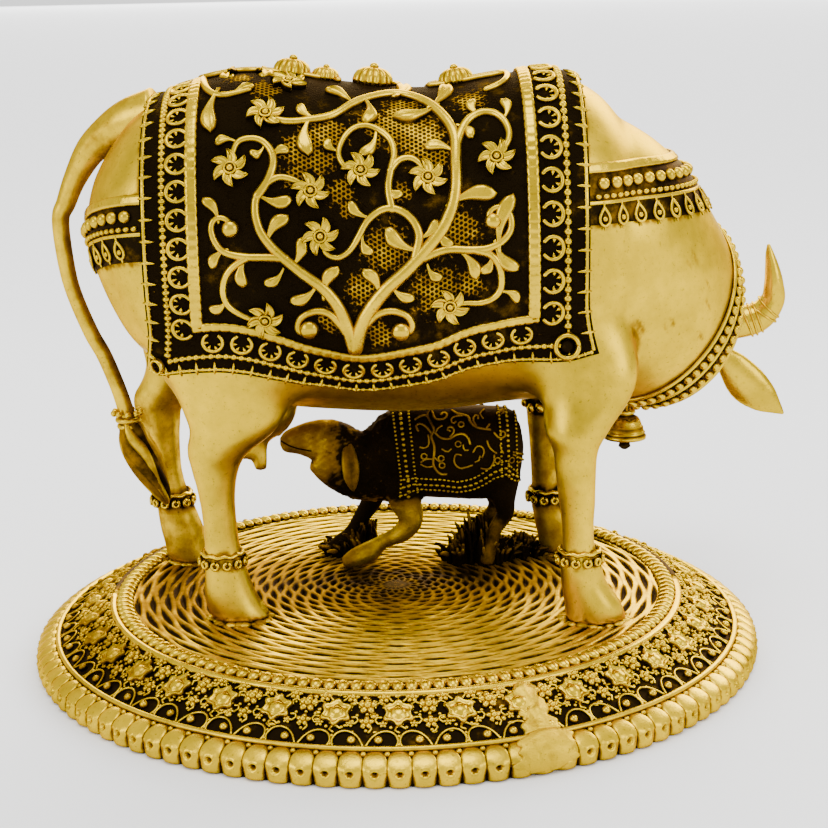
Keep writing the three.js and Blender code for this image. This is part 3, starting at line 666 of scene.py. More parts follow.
def sight_lines(places):
    """The eye, and the direction of the sight line through each place of the front view."""
    up = np.cross((1.0, 0.0, 0.0), -VIEW_BACK)
    x, y = places[:, 0] - VIEW_MIDDLE[0], VIEW_MIDDLE[1] - places[:, 1]
    cos, sin = math.cos(VIEW_ROLL), math.sin(VIEW_ROLL)
    x, y = x * cos + y * sin, -x * sin + y * cos
    across = np.array([1.0, 0.0, 0.0]) * x[:, None]
    return VIEW_TARGET + VIEW_BACK * VIEW_DISTANCE, -VIEW_BACK * VIEW_FOCUS + across + up * y[:, None]


def beside(grid):
    """The grid's values one step away on each of its four sides, with its own edge repeated outside it."""
    wider = np.pad(grid, 1, mode="edge")
    return wider[2:, 1:-1], wider[:-2, 1:-1], wider[1:-1, 2:], wider[1:-1, :-2]


class Drape:
    """A cloth's outer face: the barrel's round, pushed out where the skin under it stands proud."""

    def __init__(self, barrel, tree, lift, ends, reach, cells, start):
        self.x, self.angle = np.linspace(*ends, cells[0]), np.linspace(-reach, math.pi + reach, cells[1])
        self.cell = self.x[1] - self.x[0], self.angle[1] - self.angle[0]
        x, angle = (v.ravel() for v in np.meshgrid(self.x, self.angle, indexing="ij"))
        place, out = barrel.frame(x, angle)
        proud = np.zeros(len(place))
        for i in np.nonzero(np.sin(angle) < 0.4)[0]:
            hit = tree.ray_cast(Vector(place[i] + out[i] * start), Vector(-out[i]), start + 1)
            if hit[0] is not None:
                proud[i] = max(start - hit[3], 0.0)
        proud = proud.reshape(cells)
        for _ in range(3):
            proud = np.max([proud, *beside(proud)], axis=0)
        for _ in range(14):
            proud = sum(beside(proud), 2 * proud) / 6
        self.place = (place + out * (proud.ravel() + lift)[:, None]).reshape(*cells, 3)
        self.forward = unit(np.gradient(self.place, axis=0))
        self.out = unit(np.cross(np.gradient(self.place, axis=1), self.forward))
        rows, columns = cells
        corner = (np.arange(rows - 1)[:, None] * columns + np.arange(columns - 1)).ravel()
        faces = np.stack([corner, corner + columns, corner + columns + 1, corner + 1], axis=1)
        self.tree = BVHTree.FromPolygons([tuple(p) for p in self.place.reshape(-1, 3)], faces.tolist())

    def frame(self, x, angle, lift=0.0):
        """Each place on the cloth with the directions forward along the body and out of it."""
        x, angle = (np.ravel(v) for v in np.broadcast_arrays(np.asarray(x, float), np.asarray(angle, float)))
        across = np.clip((x - self.x[0]) / self.cell[0], 0, len(self.x) - 1.001)
        round_it = np.clip((angle - self.angle[0]) / self.cell[1], 0, len(self.angle) - 1.001)
        i, j = across.astype(int), round_it.astype(int)
        s, t = (across - i)[:, None], (round_it - j)[:, None]
        mix = lambda grid, k: grid[i, k] * (1 - s) + grid[i + 1, k] * s
        read = lambda grid: mix(grid, j) * (1 - t) + mix(grid, j + 1) * t
        out = unit(read(self.out))
        return read(self.place) + out * lift, unit(read(self.forward)), out

    def laid(self, places, side, lift=0.0):
        """The frames on one flank where the front view sees places on the near one."""
        x, angle = self.seen(places)
        return self.frame(x, on_side(angle, side), lift)

    def seen(self, places):
        """The place along and the angle where the front view's sight lines meet the cloth, or pass nearest."""
        eye, rays = sight_lines(np.asarray(places, float))
        spots = []
        for ray in unit(rays):
            spot, _, face, _ = self.tree.ray_cast(Vector(eye), Vector(ray))
            if spot is None:
                reach = (np.linspace(-46, 8, 110) - eye[1]) / ray[1]
                near = [self.tree.find_nearest(Vector(eye + ray * r)) for r in reach]
                spot, _, face, _ = min(near, key=lambda found: found[3])
            i, j = divmod(face, len(self.angle) - 1)
            corner = self.place[i, j]
            ahead, above, step = self.place[i + 1, j] - corner, self.place[i, j + 1] - corner, np.array(spot) - corner
            spots.append((
                self.x[i] + np.clip(step @ ahead / (ahead @ ahead), 0, 1) * self.cell[0],
                self.angle[j] + np.clip(step @ above / (above @ above), 0, 1) * self.cell[1],
            ))
        return np.array(spots).T


def on_side(angle, side):
    """An angle of the near flank, or the same on the far flank for side 1."""
    return angle if side < 0 else math.pi - angle


def fused(parts, cell, rounds):
    """Overlapping parts fused into one skin, with their joints rounded."""
    piece = join(parts)
    only(piece)
    remesh = piece.modifiers.new("Fuse", "REMESH")
    remesh.mode, remesh.voxel_size = "VOXEL", cell * MM
    soften = piece.modifiers.new("Soften", "SMOOTH")
    soften.factor, soften.iterations = 0.5, rounds
    for modifier in (remesh, soften):
        bpy.ops.object.modifier_apply(modifier=modifier.name)
    bpy.ops.object.shade_smooth()
    return piece


def summed(edges, one, other, count):
    """What each point gets from its edges, one for their first ends and other for their second ends."""
    return np.bincount(edges[:, 0], one, count) + np.bincount(edges[:, 1], other, count)


def blurred(values, edges, rounds):
    degree = np.maximum(np.bincount(edges.ravel(), minlength=len(values)), 1)
    for _ in range(rounds):
        values = (values + summed(edges, values[edges[:, 1]], values[edges[:, 0]], len(values)) / degree) / 2
    return values


def hollows(piece, rounds):
    """How far each point lies below the points round it, blurred: more in a crease."""
    edges, points, normals = edges_of(piece), points_of(piece), normals_of(piece)
    one, other = edges.T
    rise = ((points[other] - points[one]) * normals[one]).sum(axis=1)
    fall = ((points[one] - points[other]) * normals[other]).sum(axis=1)
    degree = np.maximum(np.bincount(edges.ravel(), minlength=len(points)), 1)
    return blurred(summed(edges, rise, fall, len(points)) / degree, edges, rounds)


def finder(places):
    """Finds the nearest of the places: the place, its number and how far it is."""
    tree = KDTree(len(places))
    for i, place in enumerate(places):
        tree.insert(place, i)
    tree.balance()
    return tree.find


def nearness(points, others, reach):
    """How near each point lies to any of the others, from 1 at them to 0 at the reach."""
    find = finder(others)
    return 1 - smooth_step(0, reach, np.array([find(place)[2] for place in points]))


def skin_tree(piece):
    """What sight lines and rays find on a finished skin, for laying ornament on it."""
    faces = [list(face.vertices) for face in piece.data.polygons]
    return BVHTree.FromPolygons([tuple(p) for p in points_of(piece)], faces)


def on_skin(tree, starts, directions):
    """Where rays meet a skin, and which way it faces there."""
    places, outs = [], []
    for start, way in zip(starts, directions):
        hit, out, _, _ = tree.ray_cast(Vector(start), Vector(way))
        if hit is not None:
            places.append(np.array(hit))
            outs.append(np.array(out) if np.dot(out, way) < 0 else -np.array(out))
    return np.array(places), unit(outs)


def finish(pieces, name, node, material=None):
    """Joins pieces into one, names it, gives it its brass, hangs it under the root and hides the solid that it stands
    for.
    """
    for pattern in PATTERNS.values():
        bpy.data.objects.remove(pattern)
    PATTERNS.clear()
    piece = join(pieces)
    piece.name = piece.data.name = name
    piece.data.materials.clear()
    piece.data.materials.append(MADE[material or node + " brass"])
    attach(piece, "root")
    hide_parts(node)
    MADE[name] = piece


# Materials


class Graph:
    """Short ways to add nodes to a node tree."""

    def __init__(self, tree):
        self.tree = tree

    def node(self, kind, inputs=None, **settings):
        node = self.tree.nodes.new(kind)
        for key, value in settings.items():
            setattr(node, key, value)
        for socket, source in (inputs or {}).items():
            if isinstance(source, bpy.types.NodeSocket):
                self.tree.links.new(source, node.inputs[socket])
            else:
                node.inputs[socket].default_value = source
        return node

    def noise(self, vector, scale, detail, rough=0.5):
        words = {"Vector": vector, "Scale": scale, "Detail": detail, "Roughness": rough}
        return self.node("ShaderNodeTexNoise", words).outputs["Fac"]

    def maths(self, operation, a, b=0.0, clamp=False):
        return self.node("ShaderNodeMath", {0: a, 1: b}, operation=operation, use_clamp=clamp).outputs[0]

    def add(self, a, b, clamp=False):
        return self.maths("ADD", a, b, clamp)

    def less(self, a, b):
        return self.maths("SUBTRACT", a, b)

    def times(self, a, b):
        return self.maths("MULTIPLY", a, b)

    def between(self, value, low, high, start=0.0, end=1.0):
        words = {"Value": value, "From Min": low, "From Max": high, "To Min": start, "To Max": end}
        return self.node("ShaderNodeMapRange", words, interpolation_type="SMOOTHSTEP").outputs["Result"]

    def blend(self, share, a, b):
        return self.node("ShaderNodeMix", {0: share, 6: a, 7: b}, data_type="RGBA").outputs[2]


def open_group(name, inputs, outputs):
    """A node group with its sockets: its graph, what it is given and a way to give its results."""
    group = bpy.data.node_groups.new(name, "ShaderNodeTree")
    for way, sockets in (("INPUT", inputs), ("OUTPUT", outputs)):
        for socket, kind in sockets.items():
            group.interface.new_socket(name=socket, in_out=way, socket_type="NodeSocket" + kind)
    given = group.nodes.new("NodeGroupInput").outputs
    result = group.nodes.new("NodeGroupOutput").inputs
    return group, Graph(group), given, lambda socket, source: group.links.new(source, result[socket])


def brass_group():
    """Antique brass: rubbed and lit gold on what stands out, a dark patina with painted shade in what lies deep, and
    casting marks; the wear it is given carries painted light and shade too.
    """
    # The Wear input holds painted light and shade as well as wear, and the Rubbed colour is also the lit tone.
    inputs = {
        "Vector": "Vector", "Wear": "Float", "Rubbed": "Color", "Shaded": "Color", "Patina": "Color",
        "Dirt": "Float", "Roughness": "Float",
    }
    outputs = {"Colour": "Color", "Metal": "Float", "Roughness": "Float", "Height": "Float"}
    group, g, given, give = open_group("Antique brass", inputs, outputs)
    where = given["Vector"]
    broad, middle, fine = g.noise(where, 28, 3), g.noise(where, 170, 5, 0.6), g.noise(where, 950, 4, 0.65)
    uneven = g.times(g.less(middle, 0.5), 0.7)
    soiled = g.times(g.less(given["Dirt"], broad), 0.5)
    level = g.less(g.add(given["Wear"], uneven), soiled)
    rubbed_and_lit = g.between(level, 0.36, 0.82)
    colour = g.blend(g.between(level, 0.06, 0.42), given["Patina"], given["Shaded"])
    colour = g.blend(rubbed_and_lit, colour, given["Rubbed"])
    tone = g.times(g.between(broad, 0.3, 0.7, 0.76, 1.06), g.between(middle, 0.3, 0.7, 0.86, 1.08))
    tone = g.times(tone, g.between(fine, 0.58, 0.72, 1.0, 0.5))
    give("Colour", g.node("ShaderNodeVectorMath", {0: colour, "Scale": tone}, operation="SCALE").outputs[0])
    give("Metal", g.between(level, 0.08, 0.4, 0.6, 1.0))
    rough = g.add(given["Roughness"], g.times(g.less(middle, 0.5), 0.2))
    give("Roughness", g.add(rough, g.between(rubbed_and_lit, 0.0, 1.0, 0.3, 0.0), True))
    give("Height", g.add(g.times(middle, 0.6), g.times(fine, 0.4)))
    return group


def net_group():
    """A honeycomb net with dark holes, which shows in worn patches of the cloth's ground."""
    inputs = {"Place": "Vector", "Patch": "Float"}
    group, g, given, give = open_group("Honeycomb net", inputs, {"Wear": "Float", "Height": "Float"})
    wave = 0.0
    for angle in whole_turn(3):
        way = {0: given["Place"], 1: (NET_PITCH * math.cos(angle), NET_PITCH * math.sin(angle), 0)}
        turn = g.node("ShaderNodeVectorMath", way, operation="DOT_PRODUCT").outputs["Value"]
        wave = g.add(g.maths("COSINE", turn), wave)
    wall = g.between(wave, -0.7, 0.2, 1.0, 0.0)
    ragged = g.add(given["Patch"], g.times(g.less(g.noise(given["Place"], 0.5, 5), 0.5), 1.9))
    give("Wear", g.times(g.times(wall, g.between(ragged, 0.3, 0.75)), 0.5))
    give("Height", g.times(wall, g.between(ragged, 0.1, 0.4, 0.35, 1.0)))
    return group


def brass(name, colours, dirt, roughness, bump, tint=1.0, net=False):
    """A material of antique brass with its own dirt, roughness and grain, and the cloth's net where asked."""
    material = bpy.data.materials.new(name)
    material.use_nodes = True
    material.node_tree.nodes.clear()
    g = Graph(material.node_tree)
    read = lambda field, kind: g.node("ShaderNodeAttribute", attribute_name=field).outputs[kind]
    where = g.node("ShaderNodeTexCoord").outputs["Object"]
    wear = read("wear", "Fac")
    if net:
        words = {"Place": read("net_place", "Vector"), "Patch": read("patch", "Fac")}
        honeycomb = g.node("ShaderNodeGroup", words, node_tree=MADE["net group"]).outputs
        wear = g.add(wear, honeycomb["Wear"])
    group = g.node("ShaderNodeGroup", {
        "Vector": where, "Wear": wear, "Dirt": dirt, "Roughness": roughness,
        "Rubbed": [*(c * tint for c in colours.rubbed_and_lit), 1], "Shaded": [*(c * tint for c in colours.shaded), 1],
        "Patina": [*colours.patina, 1],
    }, node_tree=MADE["brass group"]).outputs
    height = g.add(g.times(group["Height"], 0.5), honeycomb["Height"]) if net else group["Height"]
    bumped = g.node("ShaderNodeBump", {"Height": height, "Strength": bump, "Distance": BUMP_DEPTH})
    shader = g.node("ShaderNodeBsdfPrincipled", {
        "Base Color": group["Colour"], "Metallic": group["Metal"], "Roughness": group["Roughness"],
        "Normal": bumped.outputs["Normal"], "Specular IOR Level": 0.02, "Specular Tint": (0.8, 0.6, 0.28, 1),
    })
    g.node("ShaderNodeOutputMaterial", {"Surface": shader.outputs["BSDF"]})
    MADE[name] = material


# Settings that a user may change


def count_of(name, description, default, least):
    return bpy.props.IntProperty(name=name, description=description, default=default, min=least)


def colour_of(name, description, default):
    return bpy.props.FloatVectorProperty(
        name=name, description=description, default=default, subtype="COLOR", size=3, min=0, max=1
    )


class StatueSizes(bpy.types.PropertyGroup):
    """How many of each ornament, and how thick the relief is."""

    petals: count_of("Petals", "Petals round the plinth's rim", 108, 12)
    flowers: count_of("Flowers", "Large flowers round the frieze", 36, 6)
    ring_beads: count_of("Ring beads", "Beads round the floor", 144, 12)
    stem: bpy.props.FloatProperty(
        name="Stem thickness", description="How much thicker or thinner the vine is than in the photograph",
        default=1.0, min=0.5, max=2.0,
    )
    voxel: bpy.props.FloatProperty(
        name="Skin cell", description="Cell size of the cow's skin", default=0.00145, min=0.0005, unit="LENGTH"
    )


class StatueFinish(bpy.types.PropertyGroup):
    """The colours of the antique brass: lit and rubbed gold, a painted shade tone and the patina."""

    # The rubbed gold is also the painted highlight on tops that face the lamps.
    rubbed_and_lit: colour_of("Rubbed gold", "Colour of the high points", (0.65, 0.43, 0.0))
    # The shaded brass is the mid tone between patina and gold, used as painted shade as well as where the patina
    # thins out.
    shaded: colour_of("Shaded brass", "Colour where the patina thins out", (0.30, 0.145, 0.0))
    patina: colour_of("Patina", "Colour of the recesses", (0.010, 0.0058, 0.0018))


class MakeBrass(bpy.types.Operator):
    """Make the antique brass of the plinth, the cow and the calf"""

    bl_idname = "statue.make_brass"
    bl_label = "Make the brass"

    def execute(self, context):
        colours = context.scene.statue_finish
        MADE["brass group"], MADE["net group"] = brass_group(), net_group()
        brass("cow brass", colours, 0.46, 0.34, 0.16)
        brass("base brass", colours, 0.5, 0.3, 0.35)
        brass("floor brass", colours, 0.62, 0.33, 0.3)
        brass("calf brass", colours, 0.9, 0.36, 0.7, tint=0.8)
        brass("rough brass", colours, 0.55, 0.42, 0.9)
        brass("cloth ground", colours, 0.5, 0.5, 1.0, net=True)
        brass("relief brass", colours, 0.42, 0.22, 0.3)
        return {"FINISHED"}


# Plinth

CORE = (
    (0, 0), (121.5, 0), (122.6, 0.4), (122.3, 4.5), (120.4, 7.6), (118.7, 7.4), (118.2, 8.3),
    (FRIEZE_FOOT[0] + 0.6, FRIEZE_FOOT[1] - 0.3), FRIEZE_FOOT, (110, 11.95), (104, 14.98), FRIEZE_HEAD,
    (96.2, 18.6), (92.2, 18.6), (91.4, 17.2), (0, 17.2),
)
# a petal's rows: height, half width, bulge, lean, and how flat its front is
PETAL_ROWS = (
    (0.1, 2.9, 1.3, 0, 0.2), (0.6, 3.1, 2.2, 0, 0.2), (1.5, 3.25, 2.6, 0, 0.22), (2.5, 3.35, 2.6, 0, 0.3),
    (3.3, 3.45, 2.35, 0, 0.4), (3.8, 3.55, 2.1, 0, 0.5), (4.2, 3.66, 1.95, 0, 0.55), (4.6, 3.66, 1.9, 0, 0.6),
    (5.0, 3.66, 1.9, 0, 0.65), (5.5, 3.66, 1.9, 0, 0.65), (6.2, 3.66, 1.8, -0.3, 0.65), (7.0, 3.6, 1.7, -0.9, 0.6),
    (7.7, 3.4, 1.5, -1.7, 0.5), (8.3, 2.9, 1.2, -2.5, 0.4), (8.8, 2.0, 0.8, -3.3, 0.3), (9.0, 1.0, 0.4, -3.9, 0.2),
)
# sections of half width and height
CUPPED = ((-1, -0.6), (-1, 0.5), (-0.8, 1), (-0.4, 0.68), (0, 0.55), (0.4, 0.68), (0.8, 1), (1, 0.5), (1, -0.6))
GROOVED = ((-1, -0.5), (-1, 0.25), (-0.75, 0.82), (-0.35, 1), (0, 0.7), (0.35, 1), (0.75, 0.82), (1, 0.25), (1, -0.5))
BAND = ((-1, -0.5), (-1, 0.45), (-0.82, 0.85), (-0.4, 1), (0, 0.9), (0.4, 1), (0.82, 0.85), (1, 0.45), (1, -0.5))
# rings of share of the radius and height
STAR = ((1.0, -0.1), (1.02, 0.22), (0.93, 0.3), (0.8, 0.2), (0.62, 0.16), (0.56, 0.26), (0.4, 0.36), (0.16, 0.4))
ROSETTE = ((1.0, -0.6), (1.02, 0.9), (0.97, 2.2), (0.84, 3.5), (0.6, 4.5), (0.3, 5.0))
SPIKE = ((1.0, -0.2), (1.0, 0.3), (0.55, 0.8), (0.12, 1.0))
SPIKE_REACH = np.array([2.05, 1.2, 0.85, 1.15, 1.95, 1.15, 0.85, 1.45, 3.25, 1.45, 0.85, 1.15, 1.95, 1.15, 0.85, 1.2])
# the frieze's ornament: share up the slope, share of the way to the next star, and then size, or spin and mirror
FLORETS = (
    (0.44, 0.5, 1.05), (0.74, 0.5, 1.35), (0.9, 0.24, 0.9), (0.9, 0.76, 0.9), (0.42, 0.24, 0.6), (0.42, 0.76, 0.6),
)
HOOKS = (
    (0.5, 0.28, 0.4, False), (0.5, 0.72, -0.4, True), (0.74, 0.28, 2.2, False), (0.74, 0.72, -2.2, True),
    (0.92, 0.06, 1.2, False), (0.92, 0.94, -1.2, True), (0.3, 0.02, 2.9, False), (0.34, 0.5, 1.4, False),
)
PINS = (
    (0.05, 0.0), (0.3, 0.5), (0.36, 0.12), (0.36, 0.88), (0.58, 0.34), (0.58, 0.66), (0.6, 0.5), (0.84, 0.4),
    (0.84, 0.6), (0.96, 0.5), (0.97, 0.0), (0.2, 0.0), (0.97, 0.25),
)
ARCH = ((-4.2, 0.2), (-4.7, 2.3), (-3.6, 4.9), (-1.3, 5.9), (1.2, 5.2), (3.1, 3.3), (4.5, 0.7))
HOOK = ((-1.3, -1.1), (0.4, -1.7), (1.6, -0.6), (1.2, 0.7), (0.1, 0.8))
CRUMBS = 900
FLOOR_COLUMNS = 18
FLOOR_ROW = 2.6


def along_circle(turn):
    return np.stack([-np.sin(turn), np.cos(turn), 0 * turn], axis=-1)


def on_slope(share, angle, lift=0.0):
    """A place on the sloping frieze, from its foot to its head."""
    (foot_r, foot_z), (head_r, head_z) = FRIEZE_FOOT, FRIEZE_HEAD
    run, rise = foot_r - head_r, head_z - foot_z
    length = math.hypot(run, rise)
    return circle(angle, foot_r - run * share + rise / length * lift, foot_z + rise * share + run / length * lift)


def slope_frames(share, angles, lift=0.0, scale=1.0, spin=0.0, mirror=False):
    """Frames on the frieze: x round it, y up the slope, z out of it."""
    out = unit(on_slope(share, angles, 1.0) - on_slope(share, angles))
    around = along_circle(angles)
    forward = around * np.cos(spin) + np.cross(out, around) * np.sin(spin)
    made = frames_on(on_slope(share, angles, lift), forward, out, scale)
    if mirror:
        made[:, :, 0] *= -1
    return made


def petal_pattern():
    """One petal of the rim: a lower lobe, a small drilled hole above it, and a shoulder that leans in."""
    rings = []
    for y, wide, bulge, lean, flat in PETAL_ROWS:
        front = [
            (wide * s, y, lean + bulge * (flat + (1 - flat) * (1 - abs(s) ** 2.2) ** 0.7))
            for s in np.linspace(-1, 1, 15)
        ]
        rings.append([*front, (wide, y, lean - 1.5), (-wide, y, lean - 1.5)])
    piece = loft(rings)
    points, normals = points_of(piece), normals_of(piece)
    x, y, z = points.T
    # Painted shade and light: the petal is dark in its hole, towards its edges where petals meet, at its foot, on
    # faces turned in or down and along a painted shadow line above the hole, and bright on its outward crest.
    from_hole = np.hypot(x / 1.05, (y - 4.5) / 0.85)
    hole = smooth_step(1.15, 0.45, from_hole) * (z > 0.5)
    low = smooth_step(5.6, 2.8, y)
    wear = smooth_step(0.01, 0.12 + 0.25 * low, 1 - np.abs(x) / 3.68) * (1 - hole)
    wear *= smooth_step(-0.45, 0.3, normals[:, 2] + 0.5 * normals[:, 1]) * smooth_step(-0.1, 0.7, y)
    points[:, 2] += 0.45 * hump(from_hole - 1.5, 0.35) * (z > 0.5) - 1.5 * hole
    set_points(piece, points)
    return rub_and_shade(piece, wear - 0.3 * hump(y - 5.6, 0.35))


class AddRim(bpy.types.Operator):
    """Add the plinth's core and its rim of petals, with the small beads and the smooth ring inside them"""

    bl_idname = "statue.add_rim"
    bl_label = "Plinth rim"

    def execute(self, context):
        petals = context.scene.statue_sizes.petals
        finish([rub_and_shade(lathe(CORE, segments=216), 0.0)], "plinth_core", "base")
        angles = whole_turn(petals)
        frames = frames_on(circle(angles, 122.0), along_circle(angles), circle(angles))
        finish([copies(petal_pattern(), frames)], "plinth_petals", "base")
        angles += math.pi / petals
        bead = bead_pattern(1.05, 7, 5, rubbed_and_lit=(-0.4, 0.9))
        beads = copies(bead, frames_on(circle(angles, 118.5, 8.2), along_circle(angles), UP))
        ring = rub_and_shade_facing(hoop(circle(whole_turn(217, True), EDGE_RING, 9.3), 0.95), UP, -0.5, 0.5)
        finish([beads, ring], "plinth_edge_ring", "base")
        return {"FINISHED"}


def pinwheel_pattern(radius, petals, half=0.27, curl=0.5, boss=0.23):
    """A flower of cupped, pointed petals that turn like a wheel round a ringed boss, standing on the ground."""
    rings = []
    for t in np.linspace(0, 1, 9):
        reach, turn = radius * (0.16 + 0.84 * t), curl * t * t
        wide = radius * half * math.sin(math.pi * (0.12 + 0.88 * t) ** 1.05) ** 0.7 if t < 1 else 0.02
        rise = radius * (0.17 + 0.16 * math.sin(math.pi * t * 0.8))
        cos, sin = math.cos(turn), math.sin(turn)
        rings.append([(reach * cos - wide * a * sin, reach * sin + wide * a * cos, rise * b) for a, b in CUPPED])
    petal = rub_and_shade_pattern(loft(rings), 0.0, 0.75)
    # Painted shade: each petal is darker towards its foot, where it meets the ground.
    rub_and_shade(petal, wear_and_shade_of(petal) * smooth_step(0.0, 0.2 * radius, points_of(petal)[:, 2]))
    edge = hoop(circle(whole_turn(17, True), radius * boss * 1.25, radius * 0.2), radius * 0.07, sides=6)
    middle = moved(dome(radius * boss * 0.8, 10, 6, (1, 1, 0.9)), (0, 0, radius * 0.22))
    wheel = copies(petal, frames_on(np.zeros((petals, 3)), circle(whole_turn(petals)), UP))
    return join([wheel, rub_and_shade_pattern(edge, -0.2, 0.6), rub_and_shade_pattern(middle, -0.1, 0.6)])


def star_pattern(radius, points=6):
    """A pointed star: a raised edge round a hollow, with a domed middle."""
    turn = whole_turn(points * 6)
    sharp = (0.5 + 0.5 * np.cos(points * turn)) ** 1.6
    piece = rub_and_shade_pattern(loft([
        circle(turn, radius * share * (0.72 + 0.28 * sharp * smooth_step(0.5, 0.85, share)), radius * height)
        for share, height in STAR
    ]), -0.2, 0.6)
    # Darker just inside the raised edge: patina and painted shade in the hollow.
    depth = np.hypot(*points_of(piece).T[:2]) / radius
    return rub_and_shade(piece, wear_and_shade_of(piece) * (1 - 0.5 * hump(depth - 0.62, 0.07)))


def floret_pattern():
    """A small rough floret: five thick lumps round one."""
    way = circle(whole_turn(5) + 0.3)
    lump = bead_pattern(1.0, 6, 4, (1.25, 0.85, 0.8), (-0.3, 0.6))
    middle = moved(bead_pattern(1.0, 8, 5, rubbed_and_lit=(-0.3, 0.6)), (0, 0, 0.75))
    return join([copies(lump, frames_on(way * 1.25 + (0, 0, 0.25), way, UP)), middle])


class AddFrieze(bpy.types.Operator):
    """Add the sloping frieze: arches with beads, large stars, florets, tendrils, pin beads and casting crumbs"""

    bl_idname = "statue.add_frieze"
    bl_label = "Plinth frieze"

    def execute(self, context):
        count = context.scene.statue_sizes.flowers
        step = TURN / count
        rng = np.random.default_rng(3)
        pieces = []

        def lay(pattern, share, offset, lift, **words):
            angles = np.arange(count) * step + step * offset
            pieces.append(copies(pattern, slope_frames(share, angles, lift, **words)))

        arch, ball = wire_pattern(ARCH, 0.36), bead_pattern(1.4, 8, 6, rubbed_and_lit=(-0.1, 0.8))
        for offset, lean, mirror in ((0.25, 0.05, False), (0.75, -0.05, True)):
            lay(arch, 0.0, offset, 0.15, mirror=mirror)
            lay(ball, 0.12, offset + lean, 0.5)
        lay(star_pattern(5.0), 0.6, 0.0, 0.35, spin=0.52)
        floret, hook = floret_pattern(), wire_pattern(HOOK, 0.38, spacing=1.0, sides=5)
        for share, offset, scale in FLORETS:
            lay(floret, share, offset, 0.3, scale=scale, spin=offset * 5)
        for share, offset, spin, mirror in HOOKS:
            lay(hook, share, offset, 0.15, spin=spin, mirror=mirror)
        pin = bead_pattern(0.66, 6, 4, rubbed_and_lit=(-0.2, 0.8))
        for share, offset in PINS:
            lay(pin, share, offset, 0.3)
        crumb = bead_pattern(0.75, 6, 4, (1.3, 0.9, 0.6), (-0.3, 0.9))
        scale = rng.uniform(0.5, 1.5, (CRUMBS, 1)) * rng.uniform(0.7, 1.3, (CRUMBS, 3))
        share, turn = rng.uniform(0.28, 1.0, CRUMBS), rng.uniform(0, TURN, CRUMBS)
        pieces.append(copies(crumb, slope_frames(share, turn, 0.15, scale)))
        piece = join(pieces)
        # The frieze is darker towards the left and towards the back.
        x, y, _ = points_of(piece).T
        rub_and_shade(piece, wear_and_shade_of(piece) * (1 - 0.4 * smooth_step(-30, -95, x) - 0.25 * smooth_step(20, 80, y)))
        finish([piece], "plinth_frieze", "base", "relief brass")
        return {"FINISHED"}


class AddBeadRing(bpy.types.Operator):
    """Add the smooth band and the ring of scale shaped beads round the floor"""

    bl_idname = "statue.add_bead_ring"
    bl_label = "Plinth bead ring"

    def execute(self, context):
        band = hoop(circle(whole_turn(217, True), FRIEZE_HEAD[0], FRIEZE_HEAD[1]), 1.4, 1.2, sides=12)
        bead = bead_pattern(1.0, 12, 7, (2.06, 3.1, 1.9), (-0.3, 0.5))
        angles = whole_turn(context.scene.statue_sizes.ring_beads)
        beads = copies(bead, frames_on(circle(angles, BEAD_RING, 18.95), along_circle(angles), UP))
        finish([rub_and_shade_facing(band, UP, -0.6, 0.4), beads], "plinth_bead_ring", "base", "relief brass")
        return {"FINISHED"}


def weave(radius, angle):
    """The height of the floor's net of strands, which draw together in pairs and part again, with slits between."""
    best = np.full(radius.shape, -9.0)
    nearest = np.round(radius / FLOOR_ROW)
    for strand in (nearest - 1, nearest, nearest + 1):
        swing = np.cos(FLOOR_COLUMNS * angle + math.pi * strand)
        off = (radius - (strand + 0.23 * swing) * FLOOR_ROW) / (0.5 * FLOOR_ROW)
        best = np.maximum(best, np.sqrt(np.clip(1 - off**2, 0, 1)) - 0.8 * np.clip(np.abs(off) - 1, 0, 1))
    return best


class AddFloor(bpy.types.Operator):
    """Add the woven floor inside the bead ring"""

    bl_idname = "statue.add_floor"
    bl_label = "Plinth floor"

    def execute(self, context):
        angles = whole_turn(306)
        r, a = np.meshgrid(np.linspace(0.0, FLOOR_RADIUS, 206), angles, indexing="ij")
        uneven = (np.clip(weave(r, a), -0.5, 1) - 1) * 1.2 + 0.15 * np.sin(a * 7 + r * 0.35)
        top = circle(a, r, FLOOR_LEVEL + 0.2 + uneven * smooth_step(3, 9, r))
        piece = loft(np.concatenate([top, [circle(angles, reach, 16.0) for reach in (FLOOR_RADIUS, 0)]]))
        x, y, _ = points_of(piece).T
        # The strands are bright on their crests and dark on their sides and in the slits, rubbed wear with painted
        # shade; the shadow is a painted shadow under the figures and over the left of the floor.
        wear = smooth_step(0.45, 1.0, weave(np.hypot(x, y), np.arctan2(y, x)))
        shadow = 0.95 * hump(np.hypot((x - 5) / 70, (y - 6) / 40)) + 0.55 * hump(np.hypot((x + 76) / 24, y / 60))
        rub_and_shade(piece, wear * (0.95 - 0.76 * np.clip(shadow, 0, 1)))
        finish([piece], "plinth_floor", "base", "floor brass")
        return {"FINISHED"}


# Cow

TEATS = ((-26, 1.5, 31.5, 23.2), (-29.4, 1, 32, 25.8), (-22.8, 7.4, 32, 28.8), (-29.5, 7, 31.5, 25))
# brow, cheek and rim of the nostril: place beside the head's middle, size and stretch
FACE = (
    ((7.6, 33.6, 52.2), 3.4, (0.9, 1.25, 0.7)), ((6.2, 34, 42), 5.2, (0.7, 1.2, 1)),
    ((3.6, 52.8, 36.6), 1.9, (1, 0.9, 0.8)),
)


def on_head(side, x, y, z):
    return cow.at(HEAD_MIDDLE + side * x, y, z)


